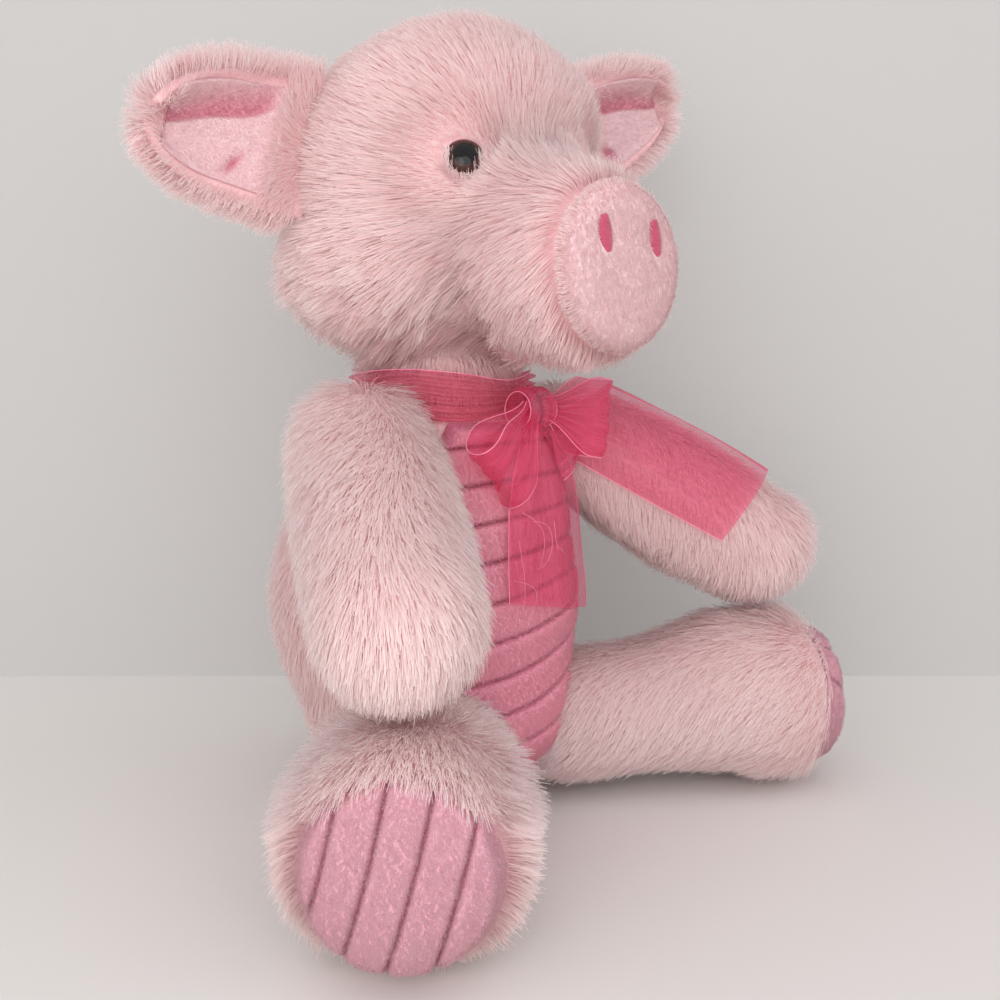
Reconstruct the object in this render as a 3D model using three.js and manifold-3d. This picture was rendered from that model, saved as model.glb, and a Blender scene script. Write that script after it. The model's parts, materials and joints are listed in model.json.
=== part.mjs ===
// Plush pig sitting up: furry skins over loose filling, ribbed panels, safety eyes and a sheer bow.
// Millimetres, +Z up. The face looks along -Y, the pig's left is +X, and the seat stands on z = 0.
import * as THREE from 'three';
import { mergeVertices } from 'three/addons/utils/BufferGeometryUtils.js';
import Module from 'manifold-3d';

const wasm = await Module();
wasm.setup();

// Gaps and cutting tools
const clearance = 0.3;
const overrun = 6;
const blockSpan = 500;
const seatCut = 0.5;
const furDepth = 12;

// Torso: one soft form made of blended balls
const bellyCentre = [0, 13, 66];
const bellyRadii = [52, 54, 59];
const seatCentre = [0, 4, 31.5];
const seatRadii = [44, 45, 32];
const chestCentre = [0, 3, 104];
const chestRadii = [42, 39, 38];
const neckCentre = [0, 2, 124];
const neckRadii = [30, 29, 30];
const torsoBlend = 12;
const torsoMiddle = [0, 8, 70];
const neckTop = 139;
const pelletTop = 36;

// Neck: a ball of filling that the head turns and nods on
const neckPivot = [0, 2, 142];
const neckBallRadius = 21;
const neckGap = 3;
const headYawDegrees = -5;

// Tummy panel: half widths at heights above the floor
const panelDepth = 3;
const panelThickness = 2;
const panelSides = [[19, 127], [30, 112], [33, 92], [32, 66], [24, 38]];
const panelTip = 11;
const panelFront = 90;
const panelBack = 8;

// Head, measured from the neck pivot
const skullCentre = [0, -2, 52];
const skullRadii = [57, 46, 56];
const cheekCentre = [29, -7, 32];
const cheekRadii = [30, 34, 25];
const muzzleRoot = [0, -32, 37];
const muzzleRootRadius = 33;
const muzzleTip = [0, -62, 29.5];
const muzzleTipRadius = 27;
const headBlend = 10;
const snoutFront = 78;

// Snout pad and nostrils
const snoutRadius = 22.5;
const snoutThickness = 4;
const snoutRound = 2.5;
const snoutHeight = 29;
const nostrilSpread = 9.8;
const nostrilRise = 8;
const nostrilHalfWidth = 2.4;
const nostrilHalfHeight = 4.6;
const nostrilThickness = 0.8;

// Eyes: glossy domes on shanks with lock washers inside
const eyeAim = [25, -39.5, 7.5];
const eyeRadius = 6;
const eyeDome = 4.6;
const eyeSink = 2.5;
const shankRadius = 2.1;
const shankLength = 13;
const washerRadius = 8;
const washerThickness = 1.4;

// Ears: blades that flop about the line where they are sewn on
const earNormal = { right: [0.955, 0, 0.3], left: [0.92, 0, 0.39] };
const earCut = 3;
const earBase = 21;
const earLength = { right: 43, left: 54 };
const earTipHalf = 13;
const earThickness = 6.4;
const earLiningThickness = 1.2;
const earRim = 4.5;
const earLiningRoot = 7;
const earTipShift = { right: -11, left: 2 };

// Arms
const shoulderNormal = [0.86, -0.38, 0.34];
const shoulderCut = 3.7;
const shoulderSet = 10.8;
const shoulderHeight = 120;
const shoulderForward = -10;
const shoulderRadius = 22;
const armMiddleRadius = 24;
const pawRadius = 22;
const pawPlace = { right: [-81, -68], left: [89, -60] };
const armWall = 8;

// Legs
const hipHeight = 24.5;
const hipAimDegrees = 50;
const hipRadius = 25;
const hipEase = 0.25;
const socketWall = 3;
const legLength = 63;
const legSplayDegrees = { right: 48, left: 54 };
const footRadius = 31;
const footDepth = 28;
const footFullnessShare = 0.72;
const legStraightShare = 0.35;
const soleRadius = 23.5;
const soleDrop = 4;
const soleThickness = 2.5;
const legCoreRadius = 12;

// Tail: a short curl at the back
const tailHeight = 42;
const tailBallRadius = 5;
const tailRadius = 3;
const tailCurl = 6;
const tailReach = 20;
const tailTurns = 1.2;

// Sheer ribbon tied round the neck
const bandRadius = 27.8;
const bandBottom = 130.3;
const bandHeight = 7.4;
const bandThickness = 1.2;
const ribbonThickness = 0.9;
const ribbonWidth = 24;
const knotRadii = [6, 6.6, 6.5];
const knotHeight = 131;
const knotSide = 3;
const loopLength = 25;
const loopFullness = 6.5;
const loopDroopDegrees = { right: -36, left: -6 };
const loopForwardDegrees = 12;
const loopLift = 3;
const bellyTail = [[-1, 123], [9, 125], [30, 108], [32, 64], [1, 69], [-14, 73], [-11, 100]];
const chestTail = [[9, 127], [30, 121], [33, 102], [14, 108]];
const chestTailLift = 2.2;
const armTailStartShare = 0.08;
const armTailEndShare = 0.84;
const armTailLow = 4;
const armTailBack = 5;
const armTailHigh = 40;

// Mesh counts
const torsoSegments = 26;
const torsoRings = 18;
const headSegments = 28;
const headRings = 20;
const coreSegments = 14;
const coreRings = 10;
const ballSegments = 18;
const ballRings = 12;
const limbSegments = 16;
const limbSteps = 5;
const smallSegments = 12;
const smallRings = 8;

const furPink = 0xe8c6c6;
const velourPink = 0xe08ca2;
const liningPink = 0xe6b0b4;
const ribbonPink = 0xd2456e;
const stitchRose = 0xb04860;
const eyeBrown = 0x1c1010;
const fillingWhite = 0xf2f0ea;
const washerWhite = 0xdcdcd8;

const up = new THREE.Vector3(0, 0, 1);
const lengthwise = new THREE.Vector3(0, 1, 0);
const radians = THREE.MathUtils.degToRad;
const vector = (place) => new THREE.Vector3(...place);
const sides = [{ name: 'right', sign: -1 }, { name: 'left', sign: 1 }];

const looks = {
  fur: new THREE.MeshStandardMaterial({ color: furPink, roughness: 0.95, metalness: 0 }),
  velour: new THREE.MeshStandardMaterial({ color: velourPink, roughness: 0.85, metalness: 0 }),
  lining: new THREE.MeshStandardMaterial({ color: liningPink, roughness: 0.85, metalness: 0 }),
  ribbon: new THREE.MeshStandardMaterial({ color: ribbonPink, roughness: 0.45, metalness: 0 }),
  stitch: new THREE.MeshStandardMaterial({ color: stitchRose, roughness: 0.5, metalness: 0 }),
  eye: new THREE.MeshStandardMaterial({ color: eyeBrown, roughness: 0.08, metalness: 0 }),
  filling: new THREE.MeshStandardMaterial({ color: fillingWhite, roughness: 1, metalness: 0 }),
  washer: new THREE.MeshStandardMaterial({ color: washerWhite, roughness: 0.4, metalness: 0 }),
};

// Solids and meshes

function solidOf(geometry) {
  const bare = geometry.index ? geometry.clone() : mergeVertices(geometry);
  bare.deleteAttribute('normal');
  bare.deleteAttribute('uv');
  const merged = mergeVertices(bare);
  const corners = merged.index.array;
  const triangles = [];
  for (let i = 0; i < corners.length; i += 3) {
    const [a, b, c] = corners.slice(i, i + 3);
    if (a !== b && b !== c && c !== a) triangles.push(a, b, c);
  }
  return new wasm.Manifold(new wasm.Mesh({
    numProp: 3,
    vertProperties: Float32Array.from(merged.attributes.position.array),
    triVerts: Uint32Array.from(triangles),
  }));
}

function geometryOf(solid) {
  const mesh = solid.getMesh();
  const geometry = new THREE.BufferGeometry();
  geometry.setAttribute('position', new THREE.BufferAttribute(Float32Array.from(mesh.vertProperties), 3));
  geometry.setIndex(new THREE.BufferAttribute(Uint32Array.from(mesh.triVerts), 1));
  geometry.computeVertexNormals();
  return geometry;
}

function piece(name, solid, look) {
  const mesh = new THREE.Mesh(geometryOf(solid), look.clone());
  mesh.name = name;
  return mesh;
}

function cut(solid, ...tools) {
  return tools.reduce((rest, tool) => rest.subtract(tool), solid);
}

// All space beyond the plane at that distance along the normal
function beyond(normal, distance) {
  const block = new THREE.BoxGeometry(blockSpan, blockSpan, blockSpan);
  block.translate(0, 0, blockSpan / 2 + distance);
  block.applyQuaternion(new THREE.Quaternion().setFromUnitVectors(up, normal));
  return solidOf(block);
}

function ball(centre, radius, segments = ballSegments, rings = ballRings) {
  const geometry = new THREE.SphereGeometry(radius, segments, rings);
  return solidOf(geometry.rotateX(Math.PI / 2).translate(...centre));
}

// The space that a ball needs to turn in, so wide that its flat faces clear the ball too
function ballSpace(centre, radius, segments = ballSegments, rings = ballRings) {
  const flats = Math.cos(Math.PI / segments) * Math.cos(Math.PI / (2 * rings));
  return ball(centre, (radius + clearance) / flats, segments, rings);
}

// A round bar from one distance to another along an axis that starts at origin
function bar(origin, axis, radius, from, to, segments = smallSegments) {
  const geometry = new THREE.CylinderGeometry(radius, radius, to - from, segments);
  geometry.translate(0, (from + to) / 2, 0);
  geometry.applyQuaternion(new THREE.Quaternion().setFromUnitVectors(lengthwise, axis));
  return solidOf(geometry.translate(...origin));
}

// An outline drawn in X and Z, reaching from one distance to another in front of the pig
function frontPrism(outline, near, far) {
  const shape = new THREE.Shape(outline.map(([x, z]) => new THREE.Vector2(x, z)));
  const geometry = new THREE.ExtrudeGeometry(shape, { depth: far - near, bevelEnabled: false });
  return solidOf(geometry.translate(0, 0, near).rotateX(Math.PI / 2));
}

// Blended forms

function ballDistance(point, blob) {
  const x = point.x - blob.centre[0];
  const y = point.y - blob.centre[1];
  const z = point.z - blob.centre[2];
  const [a, b, c] = blob.radii;
  const near = Math.hypot(x / a, y / b, z / c);
  const slope = Math.hypot(x / (a * a), y / (b * b), z / (c * c));
  return slope === 0 ? -Math.min(a, b, c) : near * (near - 1) / slope;
}

function boneDistance(point, blob) {
  const line = new THREE.Line3(vector(blob.from), vector(blob.to));
  const share = line.closestPointToPointParameter(point, true);
  const radius = THREE.MathUtils.lerp(blob.fromRadius, blob.toRadius, share);
  return line.at(share, new THREE.Vector3()).distanceTo(point) - radius;
}

// Distance from a form's surface, with its balls and bones melted together over the blend width
function formDistance(form, point) {
  return form.blobs.reduce((nearest, blob) => {
    const own = blob.radii ? ballDistance(point, blob) : boneDistance(point, blob);
    const overlap = Math.max(form.blend - Math.abs(nearest - own), 0) / form.blend;
    return Math.min(nearest, own) - overlap * overlap * form.blend / 4;
  }, blockSpan);
}

// How far the grown form reaches from start along a direction, found from outside inwards
function reachOf(form, start, direction, grow = 0) {
  const steps = 60;
  const at = (distance) => formDistance(form, start.clone().addScaledVector(direction, distance)) - grow;
  let outside = form.reach;
  while (at(outside - form.reach / steps) > 0) outside -= form.reach / steps;
  let inside = outside - form.reach / steps;
  for (let i = 0; i < 24; i += 1) {
    const middle = (inside + outside) / 2;
    if (at(middle) > 0) outside = middle;
    else inside = middle;
  }
  return inside;
}

function formSolid(form, segments, rings, grow = 0) {
  const geometry = new THREE.SphereGeometry(1, segments, rings).applyQuaternion(form.poles);
  const place = geometry.attributes.position;
  const direction = new THREE.Vector3();
  for (let i = 0; i < place.count; i += 1) {
    direction.fromBufferAttribute(place, i).normalize();
    const point = form.middle.clone().addScaledVector(direction, reachOf(form, form.middle, direction, grow));
    place.setXYZ(i, point.x, point.y, point.z);
  }
  return solidOf(geometry);
}

function formNormal(form, point) {
  const step = form.blend / 100;
  const slope = (axis) => formDistance(form, point.clone().addScaledVector(axis, step))
    - formDistance(form, point.clone().addScaledVector(axis, -step));
  const axes = [new THREE.Vector3(1, 0, 0), new THREE.Vector3(0, 1, 0), new THREE.Vector3(0, 0, 1)];
  return new THREE.Vector3(...axes.map(slope)).normalize();
}

// The furthest that a solid reaches along a direction
function supportOf(solid, direction) {
  const corners = solid.getMesh().vertProperties;
  let furthest = -blockSpan;
  for (let i = 0; i < corners.length; i += 3) {
    furthest = Math.max(furthest, direction.dot(new THREE.Vector3(corners[i], corners[i + 1], corners[i + 2])));
  }
  return furthest;
}

// A limb turned about its own axis: a ball at the root, a swelling, and a round or square end
function limbSolid(limb, grow = 0) {
  const points = [];
  for (let i = 0; i <= limbSteps; i += 1) {
    const angle = -Math.PI / 2 * (1 - i / limbSteps);
    const radius = limb.rootRadius + grow;
    points.push(new THREE.Vector2(i === 0 ? 0 : radius * Math.cos(angle), radius * Math.sin(angle)));
  }
  const middleSteps = limbSteps - 2;
  for (let i = 1; i < middleSteps; i += 1) {
    const share = i / middleSteps;
    const swell = 4 * share * (1 - share) * limb.swell;
    const widening = THREE.MathUtils.smoothstep(share, limb.straightShare, 1);
    const radius = THREE.MathUtils.lerp(limb.rootRadius, limb.endRadius, widening) + swell + grow;
    points.push(new THREE.Vector2(radius, share * limb.length));
  }
  for (let i = 0; i <= limbSteps; i += 1) {
    const angle = Math.PI / 2 * i / limbSteps;
    const radius = (limb.endRadius + grow) * Math.cos(angle) ** limb.fullnessShare;
    const along = limb.length + (limb.endDepth + grow) * Math.sin(angle) ** limb.fullnessShare;
    points.push(new THREE.Vector2(i === limbSteps ? 0 : radius, along));
  }
  const geometry = new THREE.LatheGeometry(points, limbSegments);
  geometry.applyQuaternion(new THREE.Quaternion().setFromUnitVectors(lengthwise, limb.direction));
  return solidOf(geometry.translate(...limb.root));
}

// The filling inside a limb: a round-ended core from a flat end inside the root ball
function limbCore(limb, radius, start, grow = 0) {
  const length = limb.length + limb.endDepth - furDepth + grow - radius - grow;
  const points = [new THREE.Vector2(0, start), new THREE.Vector2(radius + grow, start)];
  for (let i = 0; i <= limbSteps; i += 1) {
    const angle = Math.PI / 2 * i / limbSteps;
    const across = i === limbSteps ? 0 : (radius + grow) * Math.cos(angle);
    points.push(new THREE.Vector2(across, length + (radius + grow) * Math.sin(angle)));
  }
  const geometry = new THREE.LatheGeometry(points, smallSegments);
  geometry.applyQuaternion(new THREE.Quaternion().setFromUnitVectors(lengthwise, limb.direction));
  return solidOf(geometry.translate(...limb.root));
}

// Torso

const torsoForm = {
  blobs: [
    { centre: bellyCentre, radii: bellyRadii },
    { centre: seatCentre, radii: seatRadii },
    { centre: chestCentre, radii: chestRadii },
    { centre: neckCentre, radii: neckRadii },
  ],
  blend: torsoBlend,
  middle: vector(torsoMiddle),
  reach: 2 * (bellyRadii[2] + neckRadii[2]),
  poles: new THREE.Quaternion().setFromUnitVectors(lengthwise, up),
};
const torsoShape = formSolid(torsoForm, torsoSegments, torsoRings);

const shoulders = {};
const hips = {};
for (const { name, sign } of sides) {
  const normal = new THREE.Vector3(sign * shoulderNormal[0], shoulderNormal[1], shoulderNormal[2]).normalize();
  const plane = supportOf(torsoShape, normal) - shoulderCut;
  const across = (plane + clearance + shoulderSet - normal.y * shoulderForward - normal.z * shoulderHeight) / normal.x;
  shoulders[name] = { normal, plane, centre: new THREE.Vector3(across, shoulderForward, shoulderHeight) };

  const aim = radians(hipAimDegrees);
  const outwards = new THREE.Vector3(sign * Math.sin(aim), -Math.cos(aim), 0);
  const start = new THREE.Vector3(0, 0, hipHeight);
  hips[name] = start.clone().addScaledVector(outwards, reachOf(torsoForm, start, outwards));
}

const pivot = vector(neckPivot);
const tailStart = new THREE.Vector3(0, 0, tailHeight);
const tailRoot = tailStart.clone().addScaledVector(lengthwise, reachOf(torsoForm, tailStart, lengthwise));

// The filling's space in the torso, kept a wall's thickness from the hips
function torsoCore(grow = 0) {
  const whole = formSolid(torsoForm, coreSegments, coreRings, grow - furDepth);
  const hipWalls = sides.map(({ name }) => ball(hips[name], hipRadius + hipEase + clearance + socketWall - grow));
  return cut(whole, ...hipWalls);
}

// The tummy panel's outline, smaller all round by the inset
function panelOutline(inset) {
  const right = panelSides.map(([across, height]) => [across - inset, height]);
  right[0][1] -= inset;
  const left = right.map(([across, height]) => [-across, height]).reverse();
  return [...right, [0, panelTip + inset], ...left];
}

function torsoPieces() {
  const socket = ballSpace(neckPivot, neckBallRadius);
  const hipSockets = sides.map(({ name }) => ballSpace(hips[name], hipRadius + hipEase));
  const shoulderCuts = sides.map(({ name }) => beyond(shoulders[name].normal, shoulders[name].plane));
  const above = beyond(up, neckTop);
  const floor = beyond(up.clone().negate(), 0);

  const recess = formSolid(torsoForm, torsoSegments, torsoRings, overrun)
    .subtract(formSolid(torsoForm, torsoSegments, torsoRings, -panelDepth))
    .intersect(frontPrism(panelOutline(0), panelBack, panelFront));
  const groove = bandRing(bandRadius - clearance, overrun, bandBottom - clearance, bandHeight + 2 * clearance);
  const tailSocket = ballSpace(tailRoot, tailBallRadius, smallSegments, smallRings);
  const skin = cut(
    torsoShape, above, floor, ...shoulderCuts, ...hipSockets, socket, recess, groove, tailSocket,
    torsoCore(clearance),
  );

  const panelSpace = formSolid(torsoForm, torsoSegments, torsoRings, panelThickness + clearance - panelDepth)
    .subtract(formSolid(torsoForm, torsoSegments, torsoRings, clearance - panelDepth))
    .intersect(frontPrism(panelOutline(clearance), panelBack, panelFront));
  const panel = cut(panelSpace, ...hipSockets, ...shoulderCuts, floor);

  const core = torsoCore();
  const pelletBag = core.subtract(beyond(up, pelletTop));
  const filling = cut(core, beyond(up.clone().negate(), -pelletTop - clearance), socket);

  return [
    piece('torso_skin', skin, looks.fur),
    piece('tummy_panel', panel, looks.velour),
    piece('torso_filling', filling, looks.filling),
    piece('pellet_bag', pelletBag, looks.filling),
    piece('neck_filling', ball(neckPivot, neckBallRadius), looks.filling),
  ];
}

// Head, in its own frame with the neck pivot as origin

const headForm = {
  blobs: [
    { centre: skullCentre, radii: skullRadii },
    { centre: cheekCentre, radii: cheekRadii },
    { centre: [-cheekCentre[0], cheekCentre[1], cheekCentre[2]], radii: cheekRadii },
    { from: muzzleRoot, to: muzzleTip, fromRadius: muzzleRootRadius, toRadius: muzzleTipRadius },
  ],
  blend: headBlend,
  middle: vector(skullCentre),
  reach: 2 * (skullRadii[0] + muzzleTipRadius),
  poles: new THREE.Quaternion(),
};

function eyePlace(sign) {
  const aim = new THREE.Vector3(sign * eyeAim[0], eyeAim[1], eyeAim[2]).normalize();
  const point = headForm.middle.clone().addScaledVector(aim, reachOf(headForm, headForm.middle, aim));
  const axis = formNormal(headForm, point);
  return { origin: point.clone().addScaledVector(axis, -eyeSink), axis };
}

function eyeSolid({ origin, axis }) {
  const points = [
    new THREE.Vector2(0, -shankLength),
    new THREE.Vector2(shankRadius, -shankLength),
    new THREE.Vector2(shankRadius, 0),
  ];
  for (let i = 0; i <= limbSteps; i += 1) {
    const angle = Math.PI / 2 * i / limbSteps;
    points.push(new THREE.Vector2(i === limbSteps ? 0 : eyeRadius * Math.cos(angle), eyeDome * Math.sin(angle)));
  }
  const geometry = new THREE.LatheGeometry(points, smallSegments);
  geometry.applyQuaternion(new THREE.Quaternion().setFromUnitVectors(lengthwise, axis));
  return solidOf(geometry.translate(...origin));
}

// The plane that an ear is sewn along, and the ear's own directions
function earSeat(name, sign) {
  const [across, level, rise] = earNormal[name];
  const normal = new THREE.Vector3(sign * across, level, rise).normalize();
  const plane = supportOf(headShape, normal) - earCut;
  const along = new THREE.Vector3(-sign * rise, 0, across).normalize();
  const middle = vector(skullCentre);
  const origin = middle.clone().addScaledVector(normal, plane - normal.dot(middle));
  origin.addScaledVector(along, along.dot(supportPoint(headShape, normal).sub(origin)));
  return { normal, plane, along, origin };
}

function supportPoint(solid, direction) {
  const corners = solid.getMesh().vertProperties;
  const furthest = new THREE.Vector3();
  let reach = -blockSpan;
  for (let i = 0; i < corners.length; i += 3) {
    const corner = new THREE.Vector3(corners[i], corners[i + 1], corners[i + 2]);
    if (direction.dot(corner) > reach) {
      reach = direction.dot(corner);
      furthest.copy(corner);
    }
  }
  return furthest;
}

const headShape = formSolid(headForm, headSegments, headRings);

function headCore(grow = 0) {
  return formSolid(headForm, coreSegments, coreRings, grow - furDepth);
}

function headPieces() {
  const socket = ballSpace([0, 0, 0], neckBallRadius);
  const down = up.clone().negate();
  const forward = lengthwise.clone().negate();
  const eyes = sides.map(({ name, sign }) => ({ name, ...eyePlace(sign) }));
  const washerStart = eyeSink - furDepth;
  const pockets = eyes.map((eye) => bar(eye.origin, eye.axis, eyeRadius + clearance, -clearance, overrun));
  const shankHoles = eyes.map((eye) => bar(
    eye.origin, eye.axis, shankRadius + clearance, -shankLength - clearance, 0,
  ));
  const washerSpaces = eyes.map((eye) => bar(
    eye.origin, eye.axis, washerRadius + clearance, washerStart - washerThickness - clearance, washerStart + clearance,
  ));
  const earCuts = sides.map(({ name, sign }) => {
    const seat = earSeat(name, sign);
    return beyond(seat.normal, seat.plane);
  });
  const skin = cut(
    headShape, beyond(down, -neckGap), beyond(forward, snoutFront), socket,
    ...earCuts, ...pockets, ...shankHoles, ...washerSpaces, headCore(clearance),
  );
  const filling = cut(headCore(), socket, ...shankHoles, ...washerSpaces);

  const eyePieces = eyes.flatMap((eye) => [
    piece(`eye_${eye.name}`, eyeSolid(eye), looks.eye),
    piece(
      `eye_washer_${eye.name}`,
      bar(eye.origin, eye.axis, washerRadius, washerStart - washerThickness, washerStart)
        .subtract(bar(eye.origin, eye.axis, shankRadius + clearance, -shankLength - clearance, 0)),
      looks.washer,
    ),
  ]);
  return [
    piece('head_skin', skin, looks.fur),
    piece('head_filling', filling, looks.filling),
    ...snoutPieces(),
    ...eyePieces,
    ...sides.flatMap(({ name, sign }) => earPieces(name, sign)),
  ];
}

function snoutPieces() {
  const padBack = snoutFront + clearance;
  const flatRadius = snoutRadius - snoutRound;
  const points = [new THREE.Vector2(0, padBack), new THREE.Vector2(snoutRadius, padBack)];
  const edge = padBack + snoutThickness - snoutRound;
  for (let i = 0; i <= limbSteps; i += 1) {
    const angle = Math.PI / 2 * i / limbSteps;
    const across = flatRadius + snoutRound * Math.cos(angle);
    points.push(new THREE.Vector2(across, edge + snoutRound * Math.sin(angle)));
  }
  points.push(new THREE.Vector2(0, padBack + snoutThickness));
  const pad = new THREE.LatheGeometry(points, ballSegments).rotateX(Math.PI).translate(0, 0, snoutHeight);

  const nostrils = sides.map(({ name, sign }) => {
    const start = padBack + snoutThickness + clearance;
    const oval = new THREE.CylinderGeometry(nostrilHalfWidth, nostrilHalfWidth, nostrilThickness, smallSegments);
    oval.scale(1, 1, nostrilHalfHeight / nostrilHalfWidth);
    oval.translate(sign * nostrilSpread, -start - nostrilThickness / 2, snoutHeight + nostrilRise);
    return piece(`nostril_${name}`, solidOf(oval), looks.stitch);
  });
  return [piece('snout_pad', solidOf(pad), looks.lining), ...nostrils];
}

// An ear's outline in its own plane: out from the head along X, up the seam along Y
function earShape(name, inset, start) {
  const high = earTipShift[name] + earTipHalf - inset;
  const low = earTipShift[name] - earTipHalf + inset;
  const base = earBase - inset;
  const far = earLength[name] - inset;
  const round = earTipHalf - inset / 2;
  const shape = new THREE.Shape();
  shape.moveTo(start, -base);
  shape.quadraticCurveTo(far / 2, (low - base) / 2 - round / 2, far - round, low);
  shape.bezierCurveTo(far, low + round / 2, far, high - round / 2, far - round, high);
  shape.quadraticCurveTo(far / 2, (high + base) / 2 + round / 2, start, base);
  return shape;
}

function earPieces(name, sign) {
  const { normal, along, origin } = earSeat(name, sign);
  const half = earThickness / 2;
  const hinge = origin.clone().addScaledVector(normal, half + clearance);
  const front = lengthwise.clone().negate();
  const place = new THREE.Matrix4().makeBasis(normal, along, normal.clone().cross(along)).setPosition(hinge);
  const outwards = normal.clone().cross(along).dot(front) > 0 ? 1 : -1;

  const blade = new THREE.ExtrudeGeometry(earShape(name, 0, 0), {
    depth: earThickness, bevelEnabled: false, curveSegments: limbSteps,
  }).translate(0, 0, -half);
  const root = new THREE.CylinderGeometry(half, half, 2 * earBase, smallSegments);
  const back = solidOf(blade).add(solidOf(root));

  const lining = new THREE.ExtrudeGeometry(earShape(name, earRim, earLiningRoot), {
    depth: earLiningThickness, bevelEnabled: false, curveSegments: limbSteps,
  }).translate(0, 0, outwards > 0 ? half + clearance : -half - clearance - earLiningThickness);
  return [
    piece(`ear_${name}`, back.transform(place.elements), looks.fur),
    piece(`ear_lining_${name}`, solidOf(lining).transform(place.elements), looks.lining),
  ];
}

// Arms and legs

const footTop = 2 * footRadius - seatCut;

function armLimb(name) {
  const { centre } = shoulders[name];
  const paw = new THREE.Vector3(...pawPlace[name], footTop + clearance + pawRadius);
  const run = paw.clone().sub(centre);
  return {
    root: centre,
    direction: run.clone().normalize(),
    length: run.length(),
    rootRadius: shoulderRadius,
    endRadius: pawRadius,
    endDepth: pawRadius,
    swell: armMiddleRadius - (shoulderRadius + pawRadius) / 2,
    straightShare: 0,
    fullnessShare: 1,
  };
}

function armPieces(name) {
  const limb = armLimb(name);
  const { normal, plane } = shoulders[name];
  const inwards = beyond(normal.clone().negate(), -plane - clearance);
  const core = (grow) => limbSolid(limb, grow - armWall);
  return [
    piece(`arm_${name}`, cut(limbSolid(limb), inwards, core(clearance)), looks.fur),
    piece(`arm_filling_${name}`, core(0).subtract(inwards), looks.filling),
  ];
}

function legLimb(name, sign) {
  const splay = radians(legSplayDegrees[name]);
  const rise = footRadius - seatCut - hipHeight;
  const level = Math.sqrt(legLength ** 2 - rise ** 2);
  const run = new THREE.Vector3(sign * Math.sin(splay) * level, -Math.cos(splay) * level, rise);
  return {
    root: hips[name],
    direction: run.clone().normalize(),
    length: legLength,
    rootRadius: hipRadius,
    endRadius: footRadius,
    endDepth: footDepth,
    swell: 0,
    straightShare: legStraightShare,
    fullnessShare: footFullnessShare,
  };
}

function legPieces(name, sign) {
  const limb = legLimb(name, sign);
  const floor = beyond(up.clone().negate(), 0);
  const innerEnd = -Math.sqrt(hipRadius ** 2 - legCoreRadius ** 2);
  const core = limbCore(limb, legCoreRadius, innerEnd + clearance);
  const space = limbCore(limb, legCoreRadius, -hipRadius - overrun, clearance);
  const soleCentre = limb.root.clone().addScaledVector(up, -soleDrop);
  const solePart = bar(soleCentre, limb.direction, soleRadius, legLength, legLength + footDepth + overrun, ballSegments);
  const sole = limbSolid(limb, soleThickness + clearance).subtract(limbSolid(limb, clearance)).intersect(solePart);
  return [
    piece(`leg_${name}`, cut(limbSolid(limb), floor, space), looks.fur),
    piece(`sole_pad_${name}`, sole.subtract(floor), looks.velour),
    piece(`leg_filling_${name}`, core, looks.filling),
  ];
}

// Tail

class CurlCurve extends THREE.Curve {
  getPoint(share, target = new THREE.Vector3()) {
    const angle = 2 * Math.PI * tailTurns * share;
    const radius = tailCurl * THREE.MathUtils.smoothstep(share, 0, 0.5);
    return target.set(radius * Math.sin(angle), tailReach * share, radius * (1 - Math.cos(angle)));
  }
}

function tailPiece() {
  const section = new THREE.Shape().absarc(0, 0, tailRadius, 0, 2 * Math.PI);
  const curl = new THREE.ExtrudeGeometry(section, { steps: ballSegments, curveSegments: 3, extrudePath: new CurlCurve() });
  const root = ball([0, 0, 0], tailBallRadius, smallSegments, smallRings);
  return piece('tail', solidOf(curl).add(root).translate(tailRoot.toArray()), looks.fur);
}

// Ribbon

function bandRing(innerRadius, thickness, bottom, height) {
  const points = [
    [innerRadius, bottom], [innerRadius + thickness, bottom],
    [innerRadius + thickness, bottom + height], [innerRadius, bottom + height], [innerRadius, bottom],
  ].map(([across, along]) => new THREE.Vector2(across, along));
  const ring = new THREE.LatheGeometry(points, torsoSegments);
  return solidOf(ring.rotateX(Math.PI / 2).translate(neckPivot[0], neckPivot[1], 0));
}

// A strip that lies on the torso, lifted off it, inside an outline seen from the front
function laidStrip(outline, lift) {
  return formSolid(torsoForm, torsoSegments, torsoRings, lift + ribbonThickness)
    .subtract(formSolid(torsoForm, torsoSegments, torsoRings, lift))
    .intersect(frontPrism(outline, panelBack, panelFront));
}

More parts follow.
